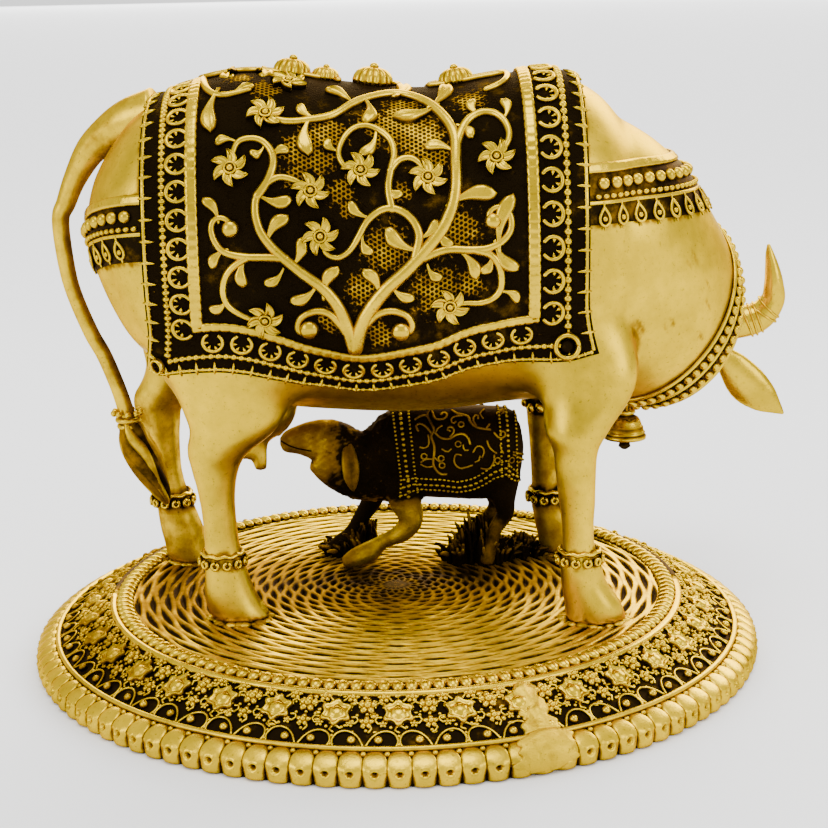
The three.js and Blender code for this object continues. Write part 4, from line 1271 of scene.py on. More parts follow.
class AddCowBody(bpy.types.Operator):
    """Add the cow's skin: barrel, neck, head, legs, hooves and udder fused into one casting"""

    bl_idname = "statue.add_cow_body"
    bl_label = "Cow body"

    def execute(self, context):
        parts = [
            torso.skin(-56.5, 50, 90, 72),
            cow.limb(NECK, sides=48, steps=30, upward=UP),
            cow.limb(HEAD, sides=40, steps=40, upward=UP, swell=0.3),
            *(cow.limb(rows, sides=28, steps=60, level=True, swell=0.45) for rows in LEGS.values()),
        ]

        def add_lump(place, size, stretch=(1, 1, 1)):
            parts.append(moved(dome(size * COW_UNIT, 20, 12, stretch), place))

        add_lump(cow.at(-25.6, 4, 36.5), 7.2)
        for x, y, high, low in TEATS:
            rows = ((high, 1.7), ((high + low) / 2, 1.55), (low + 1, 1.5), (low, 0.9))
            parts.append(cow.limb([(x, y, *row) for row in rows], sides=12, steps=12))
        add_lump(on_head(1, 0, 50.5, 35.2), 6.6, (1.05, 0.72, 0.78))
        for side in (1, -1):
            for place, size, stretch in FACE:
                add_lump(on_head(side, *place), size, stretch)
        piece = fused(parts, context.scene.statue_sizes.voxel / MM, 12)
        points, edges = points_of(piece), edges_of(piece)
        x, y, z = points.T
        # the tops of the legs flow into the flanks
        soft = np.stack([blurred(points[:, k], edges, 260) for k in range(3)], axis=1)
        flank = smooth_step(GROUND + 60, GROUND + 78, z) * smooth_step(GROUND + 136, GROUND + 116, z)
        flank *= smooth_step(18, 30, np.abs(y)) * smooth_step(80, 64, x)
        points += (soft - points) * flank[:, None]
        # hooves are cut level where they stand, with a cleft in front
        for rows in LEGS.values():
            hoof_x, hoof_y = rows[-1][0] * COW_UNIT, rows[-1][1] * COW_UNIT
            near = (np.hypot(x - hoof_x, y - hoof_y) < 16) & (z < GROUND + 9)
            cleft = hump(y - hoof_y, 0.9) * smooth_step(hoof_x + 2, hoof_x + 6, x)
            points[:, 0] -= np.where(near, 1.8 * cleft * smooth_step(GROUND + 9, GROUND + 4, z), 0)
        points[:, 2] = np.maximum(z, GROUND - 0.3)
        set_points(piece, points)
        finish([rub_and_shade(piece, 1.0)], "cow_body", "cow")
        MADE["cow skin tree"] = skin_tree(piece)
        return {"FINISHED"}


def leaf_pattern(bend):
    """A thick leaf of length 1 along x: narrow at its stalk, fullest near its blunt tip, grooved and bent."""
    t = np.linspace(0, 1, 13)
    half = np.interp(t, (0, 0.25, 0.45, 0.62, 0.78, 0.9, 0.97, 1), (0.06, 0.075, 0.14, 0.22, 0.24, 0.19, 0.1, 0.02))
    middle = bend * np.sin(math.pi * t) + 0.3 * bend * t
    rings = [[(along, m + h * a, (0.05 + 0.8 * h) * b) for a, b in GROOVED] for along, m, h in zip(t, middle, half)]
    return rub_and_shade_pattern(loft(rings), 0.1, 0.9)


class AddCowHead(bpy.types.Operator):
    """Add the cow's horns, ears, eyes, nostrils and mouth"""

    bl_idname = "statue.add_cow_head"
    bl_label = "Cow head"

    def execute(self, context):
        pieces = []
        turn, upright = whole_turn(25, True), [2, 0, 1]
        for side in (1, -1):
            rows = [(HEAD_MIDDLE + side * row[0], *row[1:]) for row in HORN]
            pieces.append(rub_and_shade(cow.limb(rows, sides=20, steps=60), 1.0))
            for at in (1.5, 1.75, 2.0, 2.3, 2.65):
                here, ahead = follow(numbered(rows), [at, at + 0.1])
                centre = cow.at(*here[:3])
                way = unit(cow.at(*ahead[:3]) - centre + (0, 0, 0.25 * math.sin(at * 9)))
                one = unit(np.cross(way, (0, 1, 0)))
                ring = one * np.cos(turn)[:, None] + np.cross(way, one) * np.sin(turn)[:, None]
                ridge = hoop(centre + here[3] * COW_UNIT * ring, 0.75, 0.5, way)
                # Painted light: the horn's ridges are brighter where they face the front and back.
                pieces.append(rub_and_shade(ridge, 0.55 + 0.45 * np.abs(normals_of(ridge)[:, 1])))
            for x, size in ((7.5, 3.5), (9.2, 3.4), (10.8, 3.2)):
                path = on_head(side, x, 25.8, 45.7) + circle(turn, size * COW_UNIT)[:, upright]
                pieces.append(rub_and_shade(hoop(path, 0.9, outward=(1, 0, 0)), 0.8))
            # the ear is a curled leaf: thick along its edge and hollow inside
            table = spread(EAR, 26)
            centres = on_head(side, *table[:, :3].T)
            along = unit(np.gradient(centres, axis=0))
            across = unit(np.cross(along, (0.0, 1.0, 0.0)))
            cos, sin = np.cos(whole_turn(20)), np.sin(whole_turn(20))
            rings = []
            for place, wide, face, half in zip(centres, across, np.cross(across, along), table[:, 3] * COW_UNIT):
                hollow = np.where(sin > 0, -0.55 * half * hump(cos, 0.6), 0.0)
                high = (0.32 * half + 0.7) * sin + hollow
                rings.append(place + wide * (half * cos)[:, None] + face * high[:, None])
            ear = loft(rings)
            # Painted light and shade: the ear is brighter where it stands out of its middle plane and darker along
            # its rim and in its hollow.
            depth = np.abs(points_of(ear)[:, 1] - centres[:, 1].mean())
            pieces.append(rub_and_shade(ear, 0.55 + 0.45 * smooth_step(0.2, 1.6, depth)))
            eye = on_head(side, 9.4, 35.5, 48.2)
            lid = eye + (side, 0, 0) + circle(whole_turn(29, True))[:, upright] * (0, 4.9, 3.0)
            pieces += [
                rub_and_shade(moved(dome(3.3, 18, 12, (0.8, 1.25, 0.85)), eye), 0.95),
                rub_and_shade(hoop(lid, 0.75, outward=(side, 0, 0)), 0.9),
                rub_and_shade(moved(dome(1.1, 10, 6, (0.6, 1, 1)), eye + (side * 2.1, 0.3, 0)), 0.0),
                # The nostril is a dark dome: painted shade in its hollow.
                rub_and_shade(moved(dome(1.5, 12, 8, (1, 0.7, 0.8)), on_head(side, 3.7, 54.4, 36.4)), 0.0),
            ]
        tree = MADE["cow skin tree"]
        # mouth line round the muzzle: a dark tube painted as the shade in its crease
        starts = on_head(1, 0, 50, 32.0) + circle(np.linspace(-1.9, 1.9, 30), 40)[:, [1, 0, 2]]
        places, outs = on_skin(tree, starts, unit(on_head(1, 0, 46, 33.5) - starts))
        pieces.append(rub_and_shade(tube(places, 0.55, 0.35, outs, 6), 0.0))
        # a flower on the brow
        brow = on_head(1, 0, 60, 62)
        places, outs = on_skin(tree, [brow], [unit(on_head(1, 0, 34, 47) - brow)])
        pieces.append(copies(pinwheel_pattern(6.5, 8, 0.24), frames_on(places, (1.0, 0.0, 0.0), outs)))
        finish(pieces, "cow_head_details", "cow", "relief brass")
        return {"FINISHED"}


class AddTail(bpy.types.Operator):
    """Add the tail, with its ring and its grooved tuft"""

    bl_idname = "statue.add_tail"
    bl_label = "Cow tail"

    def execute(self, context):
        tail = cow.limb(TAIL, sides=18, steps=110)
        # Painted shade: the tail is darker on faces turned to the rump below its height, and on faces turned down.
        ahead, _, over = normals_of(tail).T
        shade = smooth_step(0.0, 0.95, ahead) * smooth_step(GROUND + 150, GROUND + 120, points_of(tail)[:, 2])
        pieces = [rub_and_shade(tail, 0.72 - 0.5 * shade - 0.4 * smooth_step(0.3, 1, -over))]
        table = spread(TUFT, 30)
        centres, reach = cow.at(*table[:, :3].T), table[:, 3] * COW_UNIT
        for k in range(11):
            spin = k * TURN / 11 + np.linspace(0, 1.1, 30) + 0.3 * np.sin(np.linspace(0, 9, 30) + k * 2.1)
            lock = tube(centres + circle(spin, reach * 0.62), reach * 0.36 + 0.25, sides=7)
            points = points_of(lock)
            middle = [np.interp(points[:, 2], centres[::-1, 2], centres[::-1, i]) for i in range(2)]
            out = unit(points - np.stack([*middle, points[:, 2]], axis=1))
            # Painted light and shade: each lock is bright where it faces out and dark in the grooves between locks,
            # with its own tone.
            bright = smooth_step(0.1, 0.9, (normals_of(lock) * out).sum(axis=1)) * (0.6 + 0.4 * math.cos(k * 2.4))
            pieces.append(rub_and_shade(lock, 0.72 * bright))
        for z, size in ((34.2, 2.3), (32.9, 2.0)):
            path = cow.at(-51.7, 3.4, z) + circle(whole_turn(21, True), size * 0.92 * COW_UNIT)
            pieces.append(rub_and_shade(hoop(path, 0.95), 0.85))
        turn = whole_turn(9)
        places = cow.at(-51.9, 3.4, 35.6) + circle(turn, 2.6 * COW_UNIT)
        pieces.append(copies(rub_and_shade(dome(1.25, 8, 6), 0.9), frames_on(places, UP, circle(turn))))
        finish(pieces, "cow_tail", "cow")
        return {"FINISHED"}


# Saddle cloth


def hem_angle(x):
    rows = MADE["hem"]
    return follow(rows, np.clip(x, rows[0, 0], rows[-1, 0]))[:, 0]


def up_from_hem(x, distance):
    """The angle at a distance in millimetres up the near flank from the hem."""
    x = np.atleast_1d(np.asarray(x, float))
    start = hem_angle(x)[:, None]
    angles = start + (math.pi / 2 - start) * np.linspace(0, 1, 160)
    spots = MADE["drape"].frame(x[:, None], angles)[0].reshape(*angles.shape, 3)
    return np.array([np.interp(distance, length_along(row), line) for row, line in zip(spots, angles)])


def rail_up(x, step, start=0.0):
    """Even places from a start above the hem, up the near flank, over the crest and down the far flank."""
    first = up_from_hem(x, start)[0]
    place, _, out = MADE["drape"].frame(x, np.linspace(first, math.pi - first, 400))
    return evenly(place, out, step)


def rail_along(distance, step, first, last, side):
    """Even places along a flank at one distance above the hem."""
    x = np.linspace(first, last, 300)
    place, _, out = MADE["drape"].frame(x, on_side(up_from_hem(x, distance), side))
    return evenly(place, out, step)


def cloth_edge(x):
    """The cloth's front or rear edge, from one hem over the back to the other."""
    first = hem_angle([x])[0]
    return MADE["drape"].frame(x, np.linspace(first, math.pi - first, 200), -1.0)[0]


def tucked(shape, rows, columns):
    """How deep the points of a cloth's net lie: its first and last rows and columns are tucked in."""
    depth = np.zeros((*shape, 1))
    depth[[0, -1]] += rows
    depth[:, [0, -1]] += columns
    return depth


def strip(rail, half, height, notch=0.0, every=4):
    """A raised band along a line, with a flat top, rounded shoulders and a shallow notch at every few places."""
    place, _, out = rail
    sideways = unit(np.cross(out, unit(np.gradient(place, axis=0))))
    cut = np.where(np.arange(len(place)) % every == 0, 1 - notch, 1.0)
    piece = loft([
        [p + s * half * a * (0.5 + 0.5 * k) + o * height * b * k for a, b in BAND]
        for p, s, o, k in zip(place, sideways, out, cut)
    ])
    find = finder(place)
    own = np.array([find(point)[1] for point in points_of(piece)])
    # Painted light and shade by facing, and painted shade in each notch.
    rub_and_shade_facing(piece, out[own], 0.1, 0.8)
    return rub_and_shade(piece, wear_and_shade_of(piece) * (1 - 1.2 * (1 - cut[own])))


def nearest_out(points):
    """Roughly which way is out of the barrel at points near it."""
    middle = torso.section(np.clip(points[:, 0] / COW_UNIT, -56, 49.5))[0]
    return unit(np.stack([0 * middle, points[:, 1], (points[:, 2] - middle) * 0.8], axis=1))


def shell_pattern():
    """A round shell open towards the band at -x, with four teeth inside its ring."""
    ring = circle(np.linspace(-2.5, 2.5, 20))[:, :2] * (3.3, 3.75)
    wire = wire_pattern(ring, 0.72, 0.5, 0.9, 7)
    only()
    bpy.ops.mesh.primitive_cone_add(vertices=6, radius1=0.95 * MM, radius2=0.1 * MM, depth=1.9 * MM)
    tooth = bpy.context.object
    x, y, z = points_of(tooth).T
    set_points(tooth, np.stack([-z, x, y * 0.6 + 0.35], axis=1))
    rub_and_shade_pattern(close_up(tooth), -0.3, 0.5)
    way = circle(np.array((-1.4, -0.5, 0.5, 1.4)))
    return join([wire, copies(tooth, frames_on(way * (2.15, 2.5, 0), way, UP))])


class AddCloth(bpy.types.Operator):
    """Add the saddle cloth's ground over the back, draped on the thighs and shoulders"""

    bl_idname = "statue.add_cloth"
    bl_label = "Saddle cloth"

    def execute(self, context):
        ends = (CLOTH_REAR - 3, CLOTH_FRONT + 3)
        drape = Drape(torso, MADE["cow skin tree"], CLOTH_LIFT, ends, 1.3, (150, 300), 26)
        hem = np.transpose(drape.seen(HEM))
        MADE["drape"], MADE["hem"] = drape, hem[np.argsort(hem[:, 0])]
        x = np.pad(np.linspace(CLOTH_REAR, CLOTH_FRONT, 130), 1, mode="edge")[:, None]
        share = np.pad(np.linspace(0, 1, 200), 1, mode="edge")
        start = hem_angle(x[:, 0])[:, None]
        angles = start + (math.pi - 2 * start) * share
        place, _, out = (rows.reshape(*angles.shape, 3) for rows in drape.frame(x, angles))
        net = place - out * tucked(angles.shape, 2.2, 2.7)
        piece = loft(net, around=False)
        points = points_of(piece)
        if len(points) != angles.size:
            raise RuntimeError("the cloth's net has lost points, so its pattern can't be laid on it")
        arc = np.cumsum(np.linalg.norm(np.diff(net, axis=1, prepend=net[:, :1]), axis=2), axis=1)
        arc -= arc[:, len(share) // 2][:, None]
        flat = np.stack([0 * arc + x * COW_UNIT, arc, 0 * arc], axis=-1)
        patches, spots = np.zeros(len(points)), np.array(NET_PATCHES, float)
        for side in (-1, 1):
            for centre, size in zip(drape.laid(spots[:, :2], side)[0], spots[:, 2]):
                patches = np.maximum(patches, hump(np.linalg.norm(points - centre, axis=1), size * 1.15))
        rub_and_shade(piece, 0.0)
        piece.data.attributes.new("patch", "FLOAT", "POINT").data.foreach_set("value", patches.astype(np.float32))
        net_place = piece.data.attributes.new("net_place", "FLOAT_VECTOR", "POINT")
        net_place.data.foreach_set("vector", flat.astype(np.float32).ravel())
        finish([piece], "cloth_ground", "cow", "cloth ground")
        return {"FINISHED"}


class AddBorders(bpy.types.Operator):
    """Add the cloth's borders: notched bands, toothed shells, strings of beads and the lace edge"""

    bl_idname = "statue.add_borders"
    bl_label = "Cloth borders"

    def execute(self, context):
        made = {"bands": [], "shells": [], "beads": [], "lace": []}
        shell = shell_pattern()
        # a small star of four points, its longest along -x
        rings = [circle(whole_turn(16), SPIKE_REACH * share, height) for share, height in SPIKE]
        spike = rub_and_shade_pattern(loft(rings), -0.2, 0.5)
        bead, tiny = bead_pattern(1.0, 8, 5, (1.4, 1.3, 1.15)), bead_pattern(0.82, 6, 4)

        def lay(kind, pattern, rail, look=None, scale=(1, 1, 1)):
            place, along, out = rail
            frames = frames_on(place, along, out)
            if look is not None:
                frames = facing(frames[:, :, [1, 0, 2, 3]] * (1, -1, 1, 1), look)
            made[kind].append(copies(pattern, frames * (*scale, 1)))

        def cord(kind, rail, half):
            made[kind].append(strip(rail, half, half * 1.3))

        front, rear = CLOTH_FRONT, CLOTH_REAR
        inner = {1: front - 17.3 / COW_UNIT, -1: rear + 16.0 / COW_UNIT}
        for end, edge, shell_step, shell_size, bead_step in ((1, front, 10.2, 0.95, 3.0), (-1, rear, 8.9, 0.84, 2.2)):
            outward = (end, 0, 0)
            at = lambda depth: edge - end * depth / COW_UNIT
            made["bands"].append(strip(rail_up(inner[end], 0.75, 14.5), 2.0, 1.3, 0.22))
            lay("shells", shell, rail_up(at(11.7), shell_step, 11.0), outward, (1, shell_size, 1))
            lay("beads", bead, rail_up(at(7.0), bead_step, 6.6), None, (bead_step / 3.0, 1.1, 1))
            cord("beads", rail_up(at(7.0), 1.2, 6.6), 0.38)
            lay("lace", tiny, rail_up(at(1.2), 2.6, 0.8))
            cord("lace", rail_up(at(1.2), 1.2, 0.8), 0.55)
            lay("lace", spike, rail_up(at(1.3), 6.6, 4.0), outward)
        for side in (-1, 1):
            rail = lambda up, step, behind, ahead: rail_along(up, step, rear + behind, front - ahead, side)
            band_rail = rail_along(14.9, 0.75, inner[-1] - 1.0, inner[1] + 1.0, side)
            made["bands"].append(strip(band_rail, 1.5, 1.2, 0.25))
            lay("shells", shell, rail(9.8, 8.9, 9.5, 9.5), -UP, (0.85, 0.85, 0.9))
            lay("beads", bead, rail(5.3, 2.4, 4.0, 5.0), None, (0.85, 0.85, 0.95))
            cord("beads", rail(5.3, 1.2, 4.0, 5.0), 0.45)
            lay("lace", tiny, rail(1.0, 2.2, 0.6, 0.6))
            cord("lace", rail(1.0, 1.2, 0.6, 0.6), 0.42)
            lay("lace", spike, rail(1.1, 5.8, 3.0, 3.0), -UP, (0.85, 0.9, 1))
            # the eyed boss at each lower corner
            for corner, size in (((567, 346), 3.6), ((160, 364), 2.2)):
                path = circle(np.linspace(0, TURN - 0.02, 25), size, 0.6)
                ring = rub_and_shade_pattern(hoop(path, size * 0.24, 1.3), -0.6, 0.4)
                middle = rub_and_shade(dome(size * 0.6, 12, 6, (1, 1, 0.45)), 0.0)
                frames = frames_on(*MADE["drape"].laid([corner], side, 0.8))
                made["lace"].append(copies(join([ring, middle]), frames))
        for kind, pieces in made.items():
            finish(pieces, "cloth_" + kind, "cow", "relief brass")
        return {"FINISHED"}


def rosette_pattern(radius=5.7, ribs=14):
    """A ribbed dome with a button on top."""
    turn, rings = whole_turn(ribs * 4), []
    for share, height in ROSETTE:
        ribbed = 1 + 0.07 * np.cos(ribs * turn) * smooth_step(0.3, 0.8, share)
        rings.append(circle(turn, radius * share * ribbed, height))
    piece = loft(rings)
    x, y, _ = points_of(piece).T
    # Painted shade in the grooves between the ribs, bright gold on the ribs.
    rub_and_shade(piece, 0.35 + 0.65 * smooth_step(-0.7, 0.5, np.cos(ribs * np.arctan2(y, x))))
    button = moved(dome(1.5, 10, 6, (1, 1, 0.8)), (0, 0, 5.1))
    return join([piece, rub_and_shade_pattern(button, -0.3, 0.5)])


def along_leaf(place, out, back, size):
    """The frame of a leaf from its stalk to its tip, moved back by a share of its length."""
    reach = place[1] - place[0]
    return frames_on([place[0] - reach * back], reach, out.sum(axis=0), size(np.linalg.norm(reach)))


class AddVine(bpy.types.Operator):
    """Add the vine on both flanks of the cloth: stems, curls, leaves, flowers and the rosettes along the spine"""

    bl_idname = "statue.add_vine"
    bl_label = "Cloth vine"

    def execute(self, context):
        thick, drape = context.scene.statue_sizes.stem, MADE["drape"]
        stems, leaves, flowers = [], [], []
        leaf_ways = leaf_pattern(0.16), leaf_pattern(-0.16)
        flower, bulb = pinwheel_pattern(6.1, 6), bead_pattern(1.0, 12, 8, (1, 1, 0.75))
        bulbs, rosettes = np.array(BULBS, float), np.array(ROSETTES, float)

        def leaf_size(length):
            length = np.clip(length, 3.5, 13)
            return [length * 1.45, np.clip(length * 1.25, 8.0, 11.5), np.clip(length, 6.5, 9.0)]

        for side in (-1, 1):
            for start, end, points in STEMS:
                place, _, out = drape.laid(curve(points, spacing=3.0), side, 0.3)
                half = np.linspace(start, end, len(place)) * thick * 1.02
                stem = tube(blur_line(place, 2), half, half * 0.75 + 0.35, out, 10)
                # Stems are bright along their crests and dark on their sides: rubbed wear with painted light and
                # shade.
                stems.append(rub_and_shade_facing(stem, nearest_out(points_of(stem)), 0.0, 0.95))
            for parity, pattern in enumerate(leaf_ways):
                frames = []
                for leaf in LEAVES[parity::2]:
                    place, _, out = drape.laid([leaf[:2], leaf[2:]], side, 0.25)
                    frames.append(along_leaf(place, out, 0.25, leaf_size)[0])
                leaves.append(copies(pattern, frames))
            place, forward, out = drape.laid(FLOWERS, side, 0.35)
            turn = (np.arange(len(FLOWERS)) * 0.37 + 0.2)[:, None]
            heading = forward * np.cos(turn) + np.cross(out, forward) * np.sin(turn)
            flowers.append(copies(flower, frames_on(place, heading, out)))
            leaves.append(copies(bulb, frames_on(*drape.laid(bulbs[:, :2], side, 0.5), bulbs[:, 2:])))
        crest = drape.frame(drape.seen(rosettes[:, :2])[0], math.pi / 2, 0.2)
        flowers.append(copies(rosette_pattern(), frames_on(*crest, rosettes[:, 2:])))
        finish(stems, "cloth_vine", "cow", "relief brass")
        finish(leaves, "cloth_leaves", "cow", "relief brass")
        finish(flowers, "cloth_flowers", "cow", "relief brass")
        return {"FINISHED"}


# Straps, necklace, bell and anklets

DROP_SIDE = ((1.5, -0.2), (1.95, -1.8), (1.35, -3.3))
DROP = ((0, 1.9), *DROP_SIDE, (0, -3.9), *((-x, y) for x, y in reversed(DROP_SIDE)), (0, 1.9))
STRAP_LIFTS = (-1.0, 0.35, 0.45, 0.45, 0.45, 0.45, 0.45, 0.3, -1.0)
BELL = (
    (0, -1.2), (1.6, -1.4), (1.9, -2.6), (0.9, -3.4), (0.3, -1.6), (4.9, 0.9), (6.1, 0.1), (6.6, 0.1), (6.7, 0.9),
    (6.2, 1.5), (6.35, 2.0), (6.0, 2.3), (5.7, 3.1), (5.75, 3.6), (5.4, 3.9), (4.9, 5.4), (4.2, 6.5), (3.0, 7.1),
    (2.6, 7.4), (3.3, 8.0), (3.2, 8.8), (2.4, 9.2), (2.3, 12.5), (2.2, 15), (0, 15.2),
)
ANKLETS = (((-32.4, -16.5, 12), 3.7), ((34.2, -21.6, 12.6), 3.6), ((-46, 20, 13.6), 3.8), ((32.1, 20.5, 12.4), 3.6))


def pendant_pattern():
    """A drop with a ringed eye, hanging along -y."""
    return join([
        wire_pattern(DROP, 0.55, 0.45, 0.9),
        moved(bead_pattern(0.95, 8, 6, (1, 1, 0.9), (-0.2, 0.6)), (0, -1.7, 0.5)),
        wire_pattern(((0, 3.4), (0, 1.8)), 0.4, 0.35),
        wire_pattern(((0, -4.0), (0, -4.9)), 0.4, 0.3),
    ])


class AddStraps(bpy.types.Operator):
    """Add the neck strap and the rump strap: bands, large beads and pendants"""

    bl_idname = "statue.add_straps"
    bl_label = "Straps"

    def execute(self, context):
        pieces, grounds = [], []
        large, small = bead_pattern(2.05, 12, 8, (1.05, 1, 0.95)), bead_pattern(1.15, 8, 5)
        pendant = pendant_pattern()
        neck, rump = np.linspace(-1.62, 1.62, 150), np.linspace(math.pi - 1.28, math.pi + 1.28, 130)
        for turns, centre, top, drop, way, edge_at in (
            (neck, 52.0, 166.5, 18.0, 1, CLOTH_FRONT),
            (rump, -62.0, 161.0 - 10.5 * hump(rump - math.pi, 0.75), 20.0, -1, CLOTH_REAR),
        ):
            edge = cloth_edge(edge_at)

            def level(offset):
                """Where the strap's line at a distance under its top lies on the skin."""
                starts = circle(turns, 130, top - offset) + (centre, 0, 0)
                places, outs = on_skin(MADE["cow skin tree"], starts, unit(-circle(turns)))
                return blur_line(places, 3), unit(blur_line(outs, 5))

            def bare(offset, gap, step):
                """Even places on that line, clear of the cloth."""
                line = evenly(*level(offset), step)
                nearest = edge[np.linalg.norm(line[0][:, None] - edge, axis=2).argmin(axis=1)]
                clear = (line[0] - nearest)[:, 0] * way > gap
                return [rows[clear] for rows in line]

            # a dark bed under the rows
            rows = [level(offset) for offset in np.linspace(0.5, drop, 7)]
            rows = [rows[0], *rows, rows[-1]]
            bed = np.stack([place + out * lift for (place, out), lift in zip(rows, STRAP_LIFTS)], axis=1)
            grounds.append(rub_and_shade(loft(bed), 0.05))
            place, along, out = bare(14.6, 2.4, 7.2)
            pieces += [
                strip(evenly(*level(0.8), 0.9), 1.75, 1.3, 0.05),
                string_of(large, bare(5.6, 1.8, 5.1), 0.7),
                string_of(small, bare(9.4, 1.0, 2.9), 0.6, (1.1, 0.85, 1)),
                strip(evenly(*level(11.2), 0.9), 0.7, 0.9),
                copies(pendant, facing(frames_on(place + out * 0.3, along, out), UP, axis=1)),
            ]
        finish(pieces, "cow_straps", "cow", "relief brass")
        finish(grounds, "cow_strap_grounds", "cow", "relief brass")
        return {"FINISHED"}


def neck_loop(share, count):
    """A closed loop round the neck on its skin, at a share along the neck's rows, with the directions out of it."""
    here, ahead = follow(numbered(NECK), [share, share + 0.05])
    centre = cow.at(*here[:3])
    along = unit(cow.at(*ahead[:3]) - centre)
    across = unit(np.cross(UP, along))
    turn = whole_turn(count)[:, None]
    away = across * np.cos(turn) + np.cross(along, across) * np.sin(turn)
    return [np.concatenate([rows, rows[:1]]) for rows in on_skin(MADE["cow skin tree"], centre + away * 90, -away)]


class AddNecklace(bpy.types.Operator):
    """Add the beaded necklace and the bell under the throat"""

    bl_idname = "statue.add_necklace"
    bl_label = "Necklace and bell"

    def execute(self, context):
        (lower, _), (_, outs), (upper, _) = (neck_loop(share, 160) for share in (2.62, 2.82, 3.1))
        rows = zip(blur_line(lower, 4), blur_line(upper, 4), unit(blur_line(outs, 6)))
        pieces = [rub_and_shade(loft([[a - out, a + out * 0.6, b + out * 0.6, b - out] for a, b, out in rows]), 0.05)]
        oval = bead_pattern(1.0, 9, 6, (1.55, 2.1, 1.5))
        for share in (2.72, 2.96):
            pieces.append(string_of(oval, evenly(*neck_loop(share, 160), 3.5), 0.9))
        for share in (2.62, 2.84, 3.1):
            places, outs = neck_loop(share, 120)
            places = blur_line(places, 3)
            wire = hoop(places + outs * 0.6, 0.8, outward=outs, sides=7)
            pieces.append(rub_and_shade_facing(wire, unit(points_of(wire) - places.mean(axis=0)), -0.2, 0.6))
        centre = cow.at(46, 5, 28.5)
        bell = lathe(BELL, centre, 40)
        points = points_of(bell) - centre
        set_points(bell, centre + points * (1.12, 1.12, 1.15) - UP * 1.2)
        x, y, z = points.T
        # Painted shade in the bell's grooves and underneath it.
        wear = 0.8 - sum(0.75 * hump(z - ring, 0.45) for ring in (1.5, 3.4, 7.3))
        wear[(z < 0.4) & (np.hypot(x, y) < 5.9)] = 0.1
        finish([*pieces, rub_and_shade(bell, wear)], "cow_necklace", "cow", "relief brass")
        return {"FINISHED"}


class AddAnklets(bpy.types.Operator):
    """Add an anklet of hanging ringed beads to each leg"""

    bl_idname = "statue.add_anklets"
    bl_label = "Anklets"

    def execute(self, context):
        pieces, turn = [], whole_turn(33, True)
        around, out = circle(turn), circle((np.arange(12) + 0.5) * TURN / 12)
        eye = rub_and_shade_pattern(hoop(circle(turn[::3], 1.15, 0.5), 0.62, 0.9, sides=6), -0.1, 0.7)
        bead = join([eye, rub_and_shade(dome(0.6, 6, 4), 0.35)])
        for place, radius in ANKLETS:
            centre, size = cow.at(*place), radius * COW_UNIT
            wavy = UP * (1.5 + 0.35 * np.cos(turn * 9))[:, None]
            ring = hoop(centre + around * (size - 0.2) + wavy, 0.85, 1.1, around)
            pieces.append(rub_and_shade_facing(ring, unit(points_of(ring) - centre) * (1, 1, 0), -0.2, 0.6))
            pieces.append(copies(bead, frames_on(centre + out * (size + 0.5) - UP * 1.2, UP, out)))
        finish(pieces, "cow_anklets", "cow", "relief brass")
        return {"FINISHED"}


# Calf

CALF_EAR = (
    (-70, 9, 82, 2.4), (-69.5, 13, 77, 4.2), (-68.5, 16, 70, 5.4), (-68, 17, 62, 4.8), (-67.4, 17, 56, 2.6),
    (-67, 17, 53, 0.5),
)
CALF_CLOTH = (-43, 35)
# rows of beads across the back: share along the cloth, step and size
CALF_ROWS = (
    (0.02, 1.5, 0.85), (0.075, 1.9, 1.25), (0.14, 1.5, 0.85), (0.86, 1.5, 0.8), (0.915, 1.8, 1.1), (0.98, 1.5, 0.8),
)
# tufts: place, half widths, blades, height and where the tallest stand
TUFTS = (((-70, 22), (10, 7), 100, 17, 5), ((12, 2), (13, 8), 140, 20, -1), ((38, 12), (9, 7), 60, 10, 0))
BLADE = np.array((1.0, 1.1, 0.85, 1.15, 0.9, 0.8, 0.5))


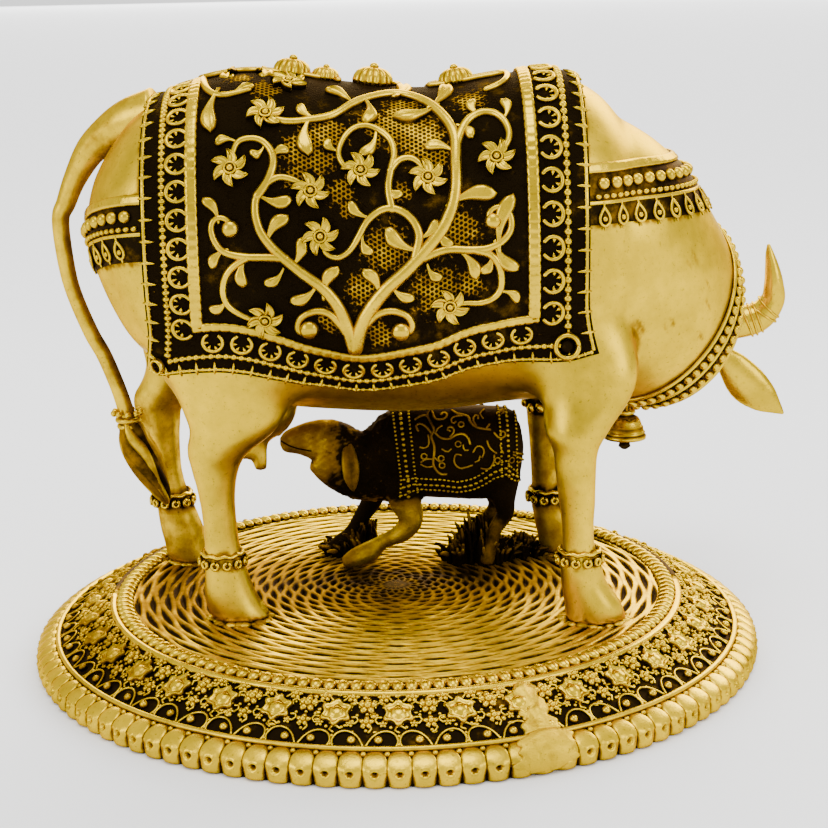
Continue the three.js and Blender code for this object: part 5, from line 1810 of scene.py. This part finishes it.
class AddCalf(bpy.types.Operator):
    """Add the calf with its small cloth and its ears"""

    bl_idname = "statue.add_calf"
    bl_label = "Calf"

    def execute(self, context):
        skin = fused([
            calf_barrel.skin(-57, 40.5, 50, 40),
            calf.limb(CALF_NECK, sides=20, steps=16, upward=UP, swell=0.2),
            calf.limb(CALF_HEAD, sides=20, steps=20, upward=UP, swell=0.2),
            *(calf.limb(rows, sides=16, steps=30, swell=0.25) for rows in CALF_LEGS),
        ], 0.95, 4)
        points = points_of(skin)
        points[:, 2] = np.maximum(points[:, 2], GROUND - 0.3)
        set_points(skin, points)
        x, y, z = ((points[:, k] - v) / CALF_UNIT for k, v in enumerate((*CALF_PLACE, GROUND)))
        a, b, c = points.T
        grain = np.sin(a * 1.3 + 2 * np.sin(c * 0.9)) * np.sin(c * 1.6 + 2 * np.sin(b * 1.1))
        grain += 0.6 * np.sin(a * 2.9 + b * 2.3) * np.sin(c * 3.1 - a)
        coarse = smooth_step(-86, -70, x) * smooth_step(-28, -50, x) * smooth_step(30, 44, z)
        set_points(skin, points + normals_of(skin) * (grain * (0.05 + 0.3 * coarse))[:, None])
        # The calf is brighter on its muzzle, its near foreleg and its lower hind legs, with grain on its neck, and
        # patina here holds how bright the gold is; its creases and the underside of its muzzle get painted shade.
        muzzle = smooth_step(-70, -84, x)
        near_leg = smooth_step(-2, -7, y) * smooth_step(-10, -22, x)
        near_leg *= smooth_step(50, 40, z) * smooth_step(-100, -60, x)
        hind = smooth_step(5, 15, x) * smooth_step(38, 30, z)
        patina = 0.2 + 0.16 * grain * coarse + (0.44 + 0.08 * grain) * muzzle + 0.58 * near_leg * (1 - muzzle)
        deep = 9 * np.clip(hollows(skin, 3), 0, 1)
        pieces = [rub_and_shade(skin, patina + 0.25 * hind - deep - 0.25 * muzzle * smooth_step(66, 56, z))]
        tree = skin_tree(skin)
        eye, ways = sight_lines(curve(CALF_MOUTH, spacing=0.8))
        middle = calf.at(0, -6, 0)[1]
        for side in (1, -1):
            rows = [(x, side * y - 4, z, half, half * 0.42) for x, y, z, half in CALF_EAR]
            ear = calf.limb(rows, sides=12, steps=18)
            # Painted light: each ear is brighter on faces turned forward and backward along the calf.
            pieces.append(rub_and_shade(ear, 0.45 + 0.4 * np.abs(normals_of(ear)[:, 0])))
            pieces.append(rub_and_shade(moved(dome(1.15, 10, 6, (1.3, 0.7, 1)), calf.at(-84, side * 9.6 - 6, 85)), 0.8))
            # the mouth is seen from the front, and mirrored about the head's middle
            start = eye * (1, side, 1) + (0, (1 - side) * middle, 0)
            place, out = on_skin(tree, [start] * len(ways), unit(ways * (1, side, 1)))
            # The mouth is a dark tube: painted shade in its crease.
            pieces.append(rub_and_shade(tube(place, 0.32, 0.22, out, 6), 0.0))
        self.add_cover(Drape(calf_barrel, tree, 0.9, (-46, 38), 1.25, (90, 160), 9), pieces)
        finish(pieces, "calf_body", "calf")
        return {"FINISHED"}

    def add_cover(self, cover, pieces):
        """The small cloth with its rows of beads and its scrolls."""
        rear, front = CALF_CLOTH
        rows = np.transpose(cover.seen(CALF_HEM))
        hem = lambda place: np.interp(place, *rows[np.argsort(rows[:, 0])].T)

        def across(turn, share):
            """The place along the calf at a share of the way from the cloth's rear edge to its front."""
            start = rear + 6.5 * np.clip(np.abs(turn - math.pi / 2) / 2.4, 0, 1) ** 1.5
            return start + (front - start) * share

        share, along = (np.pad(np.linspace(0, 1, count), 1, mode="edge") for count in (110, 56))
        start = hem(rear + (front - rear) * along)[:, None]
        turns = start + (math.pi - 2 * start) * share
        places = across(turns, along[:, None])
        net, _, out = (values.reshape(*turns.shape, 3) for values in cover.frame(places, turns))
        pieces.append(rub_and_shade(loft(net - out * tucked(turns.shape, 1.4, 1.7), around=False), 0.02))
        bead = bead_pattern(0.66, 6, 4, rubbed_and_lit=(-0.3, 0.8))
        for inset, step, size in CALF_ROWS:
            first = hem(rear + (front - rear) * inset)
            turns = np.linspace(first, math.pi - first, 200)
            line, _, out = cover.frame(across(turns, inset), turns, 0.15)
            pieces.append(string_of(bead, evenly(line, out, step), scale=size))
        for up, step, size in ((0.05, 1.6, 0.9), (0.19, 2.0, 1.15), (0.34, 1.6, 0.85)):
            for side in (-1, 1):
                places = np.linspace(-36, 34, 120)
                line, _, out = cover.frame(places, on_side(hem(places) - up, side), 0.15)
                pieces.append(string_of(bead, evenly(line, out, step), scale=np.array((1.3, 0.9, 0.9)) * size))
        ring = rub_and_shade_pattern(hoop(circle(whole_turn(13, True), 1.0, 0.2), 0.4, 0.5, sides=5), 0, 1.2)
        leaf = leaf_pattern(0.1)
        for side in (-1, 1):
            for thick, points in CALF_SCROLLS:
                place, _, out = cover.laid(curve(points, spacing=2.2), side, 0.15)
                wire = tube(place, thick * 0.7, thick * 0.65, out, 6)
                pieces.append(rub_and_shade_facing(wire, out.mean(axis=0), 0.0, 1.3))
            pieces.append(copies(ring, frames_on(*cover.laid(CALF_RINGS, side, 0.15))))
            place, _, out = cover.laid(((486, 429), (506, 411)), side, 0.2)
            pieces.append(copies(leaf, along_leaf(place, out, 0, lambda length: (length * 1.1, 6.5, 5.0))))


class AddTufts(bpy.types.Operator):
    """Add the tufts of grass round the calf's feet and the rough mounds where hooves are brazed on"""

    bl_idname = "statue.add_tufts"
    bl_label = "Tufts and mounds"

    def execute(self, context):
        rng = np.random.default_rng(7)
        blades, mounds = [], []
        for place, (long, deep), count, height, peak in TUFTS:
            centre = calf.at(*place, 0)
            for _ in range(count):
                spin, out = rng.uniform(0, TURN), math.sqrt(rng.uniform(0, 1))
                dx, dy = long * out * math.cos(spin), deep * out * math.sin(spin)
                near = math.exp(-(((dx - peak) / long * 1.9) ** 2) - (dy / deep) ** 2)
                tall = height * (0.28 + 0.72 * near) * rng.uniform(0.55, 1.0)
                lean = np.array([dx - peak, dy, 0.0]) * 0.1 + np.array([*rng.normal(0, 0.7, 2), 0.0])
                bends = ((0, 0), (0.5, 0.5), (1, 0.85), (rng.uniform(1.2, 2.4), 1))
                path = [centre + (dx, dy, -0.3) + lean * way + UP * tall * up for way, up in bends]
                blade = tube(curve(path, count=7), BLADE * rng.uniform(0.7, 1.1), sides=5)
                # Painted light: blades are brighter towards their tips and on faces turned to the front and back.
                lit = smooth_step(0.3, 1.0, (points_of(blade)[:, 2] - GROUND) / tall) * rng.uniform(0.1, 0.75)
                blades.append(rub_and_shade(blade, 0.08 + lit * (0.5 + 0.5 * np.abs(normals_of(blade)[:, 1]))))
        finish(blades, "calf_tufts", "calf")
        for rows in LEGS.values():
            for k in range(26):
                spin = k * TURN / 26 + rng.uniform(-0.1, 0.1)
                x = rows[-1][0] * COW_UNIT + 10.5 * math.cos(spin) * rng.uniform(0.86, 1.06)
                y = rows[-1][1] * COW_UNIT + 8.2 * math.sin(spin) * rng.uniform(0.86, 1.06)
                lump = moved(dome(rng.uniform(0.8, 1.7), 7, 5, (1.3, 1.2, 0.55)), (x, y, GROUND - 0.2))
                mounds.append(rub_and_shade(lump, rng.uniform(0.35, 0.95)))
        finish(mounds, "plinth_mounds", "base", "rough brass")
        return {"FINISHED"}


class AddSmear(bpy.types.Operator):
    """Add the rough run of metal over the frieze and rim at the front right"""

    bl_idname = "statue.add_smear"
    bl_label = "Rough patch"

    def execute(self, context):
        rng = np.random.default_rng(11)
        path = curve((
            (98, 18.6), (106, 14.4), (115.8, 9.5), (117.5, 10.3), (119.5, 9.4), (121.8, 8.4), (123.5, 6.6),
            (124.2, 4.0), (124.1, 1.0),
        ), spacing=0.45)
        share, across = np.linspace(0, 1, len(path))[:, None], np.linspace(-1, 1, 41)
        middle = np.radians(np.interp(share, (0, 0.55, 1), (-68.0, -68.6, -70.3)))
        half = np.radians(np.interp(share, (0, 0.08, 0.4, 0.6, 0.8, 0.94, 1), (0.9, 2.2, 2.6, 3.0, 4.6, 4.0, 2.4)))
        lift = np.interp(share, (0, 0.1, 0.5, 0.62, 0.9, 1), (0.5, 1.5, 1.6, 1.0, 0.9, 0.3))
        limits = ((0, 1), (-0.85, 0.85), (0.04, 0.12), (-0.5, 0.7))
        bumps = [[rng.uniform(*limit) for limit in limits] for _ in range(26)]
        waves = [rng.uniform(0, TURN) for _ in range(2)]
        ragged = 1 + 0.14 * np.sin(share * 31 + waves[0]) + 0.1 * np.sin(share * 57 + waves[1])
        rise = lift * np.clip(1 - across**4, 0, 1) ** 0.6
        for where, side, reach, size in bumps:
            off = np.hypot((share - where) / reach, (across - side) / 0.35)
            rise = rise + size * lift * hump(off) * (1 - across**2)
        rise[:, [0, -1]] = rise[[0, -1]] = -1.2
        (r, z), (dr, dz) = path.T[:, :, None], unit(np.gradient(path, axis=0)).T[:, :, None]
        net = circle(middle + half * across * ragged, r - dz * rise, np.maximum(z + dr * rise, 0.15))
        piece = loft(net, around=False)
        # Painted shade in the patch's hollows, brighter on its bumps.
        rub_and_shade(piece, 0.8 - 3 * np.clip(hollows(piece, 2), -0.05, 0.12))
        finish([piece], "plinth_patch", "base", "rough brass")
        return {"FINISHED"}


class StainAndShadeBody(bpy.types.Operator):
    """Paint shade on the cow's skin in its creases, under its body, on its far flank and belly, and along the edges
    of the ornament that lies on it, where dirt gathers too; and lay its stains
    """

    bl_idname = "statue.wear_body"
    # Patina and painted shade both go into the creases.
    bl_label = "Patina in the creases"

    def execute(self, context):
        piece = MADE["cow_body"]
        points = points_of(piece)
        x, y, z = points.T
        hem = np.linspace(CLOTH_REAR, CLOTH_FRONT, 200)
        # Darker along the edges of the ornament: dirt and painted contact shade.
        soil_and_contact_shade = nearness(points, np.concatenate([
            *(points_of(MADE[name])[::7] for name in ("cow_strap_grounds", "cow_necklace", "cow_anklets")),
            *(cloth_edge(end) for end in (CLOTH_REAR, CLOTH_FRONT)),
            *(MADE["drape"].frame(hem, on_side(hem_angle(hem), side), -1.0)[0] for side in (-1, 1)),
        ]), 3.2)
        # Painted shade under the body, on the lower far flank and on the belly.
        under = smooth_step(GROUND + 78, GROUND + 60, z) * np.clip(-normals_of(piece)[:, 2], 0, 1)
        far = smooth_step(0, 22, y) * smooth_step(GROUND + 78, GROUND + 55, z) * smooth_step(75, 60, x)
        belly = smooth_step(GROUND + 80, GROUND + 68, z) * smooth_step(-38, -20, x) * smooth_step(52, 36, x)
        eye, ways = sight_lines(np.array(STAINS))
        stains = on_skin(MADE["cow skin tree"], [eye] * len(ways), unit(ways))[0]
        stained = nearness(points, stains, 7.0) * (0.6 + 0.4 * np.sin(x * 1.7 + z * 0.9))
        # Patina and painted shade in the creases.
        wear = 1 - 0.75 * soil_and_contact_shade - 6 * np.clip(hollows(piece, 4), 0, 0.12)
        rub_and_shade(piece, wear - 0.35 * under - 0.42 * far - 0.3 * belly - 0.55 * stained)
        return {"FINISHED"}


# Stage

# lamps: name, place, size and power
LAMPS = (
    ("top", (0.0, -0.3, 1.5), (0.9, 0.9), 14), ("left", (-1.3, -0.9, 0.7), (0.8, 0.8), 11),
    ("right", (1.3, -0.9, 0.7), (0.8, 0.8), 9), ("behind", (18, 58, 29.5), (88, 36), 115000),
)
LAMP_TARGET = Vector((0, 0, 0.09))


class SetStage(bpy.types.Operator):
    """Set the pale floor, the soft lights and the camera"""

    bl_idname = "statue.set_stage"
    bl_label = "Stage"

    def execute(self, context):
        only()
        bpy.ops.mesh.primitive_grid_add(x_subdivisions=8, y_subdivisions=8, size=160)
        floor = context.object
        floor.name = "floor"
        pale = bpy.data.materials.new("pale floor")
        pale.use_nodes = True
        shader = pale.node_tree.nodes["Principled BSDF"]
        shader.inputs["Base Color"].default_value = (0.85, 0.85, 0.85, 1)
        shader.inputs["Roughness"].default_value = 0.9
        floor.data.materials.append(pale)
        world = context.scene.world or bpy.data.worlds.new("studio")
        context.scene.world = world
        world.use_nodes = True
        background = world.node_tree.nodes.get("Background")
        background.inputs["Color"].default_value = (1, 1, 1, 1)
        background.inputs["Strength"].default_value = 1.4
        for name, place, (wide, high), power in LAMPS:
            bpy.ops.object.light_add(type="AREA", location=place)
            lamp = context.object
            lamp.name = name
            lamp.data.shape, lamp.data.size, lamp.data.size_y, lamp.data.energy = "RECTANGLE", wide, high, power
            lamp.rotation_euler = (LAMP_TARGET - Vector(place)).to_track_quat("-Z", "Y").to_euler()
        bpy.ops.object.camera_add(location=((VIEW_TARGET + VIEW_BACK * VIEW_DISTANCE) * MM).tolist())
        camera = context.object
        camera.name = "front_view"
        camera.rotation_euler = Vector((-VIEW_BACK).tolist()).to_track_quat("-Z", "Y").to_euler()
        camera.rotation_euler.rotate_axis("Z", -VIEW_ROLL)
        camera.data.sensor_width = SENSOR
        camera.data.lens = VIEW_FOCUS / PICTURE * SENSOR
        camera.data.shift_x = (PICTURE / 2 - VIEW_MIDDLE[0]) / PICTURE
        camera.data.shift_y = (VIEW_MIDDLE[1] - PICTURE / 2) / PICTURE
        context.scene.camera = camera
        return {"FINISHED"}


STEPS = (
    MakeBrass, AddRim, AddFrieze, AddBeadRing, AddFloor, AddCowBody, AddCowHead, AddTail, AddCloth, AddBorders,
    AddVine, AddStraps, AddNecklace, AddAnklets, AddCalf, AddTufts, AddSmear, StainAndShadeBody, SetStage,
)


class StatuePanel(bpy.types.Panel):
    """The statue's pieces in the order that they are made"""

    bl_idname = "VIEW3D_PT_statue"
    bl_label = "Brass statue"
    bl_space_type = "VIEW_3D"
    bl_region_type = "UI"
    bl_category = "Statue"

    def draw(self, context):
        for settings in (context.scene.statue_sizes, context.scene.statue_finish):
            for name in settings.__annotations__:
                self.layout.prop(settings, name)
        for step in STEPS:
            self.layout.operator(step.bl_idname)


CLASSES = (StatueSizes, StatueFinish, *STEPS, StatuePanel)


def register():
    for cls in CLASSES:
        bpy.utils.register_class(cls)
    bpy.types.Scene.statue_sizes = bpy.props.PointerProperty(type=StatueSizes)
    bpy.types.Scene.statue_finish = bpy.props.PointerProperty(type=StatueFinish)


def unregister():
    del bpy.types.Scene.statue_finish
    del bpy.types.Scene.statue_sizes
    for cls in reversed(CLASSES):
        bpy.utils.unregister_class(cls)


def main():
    register()
    for step in STEPS:
        group, name = step.bl_idname.split(".")
        getattr(getattr(bpy.ops, group), name)()


if __name__ == "__main__":
    main()
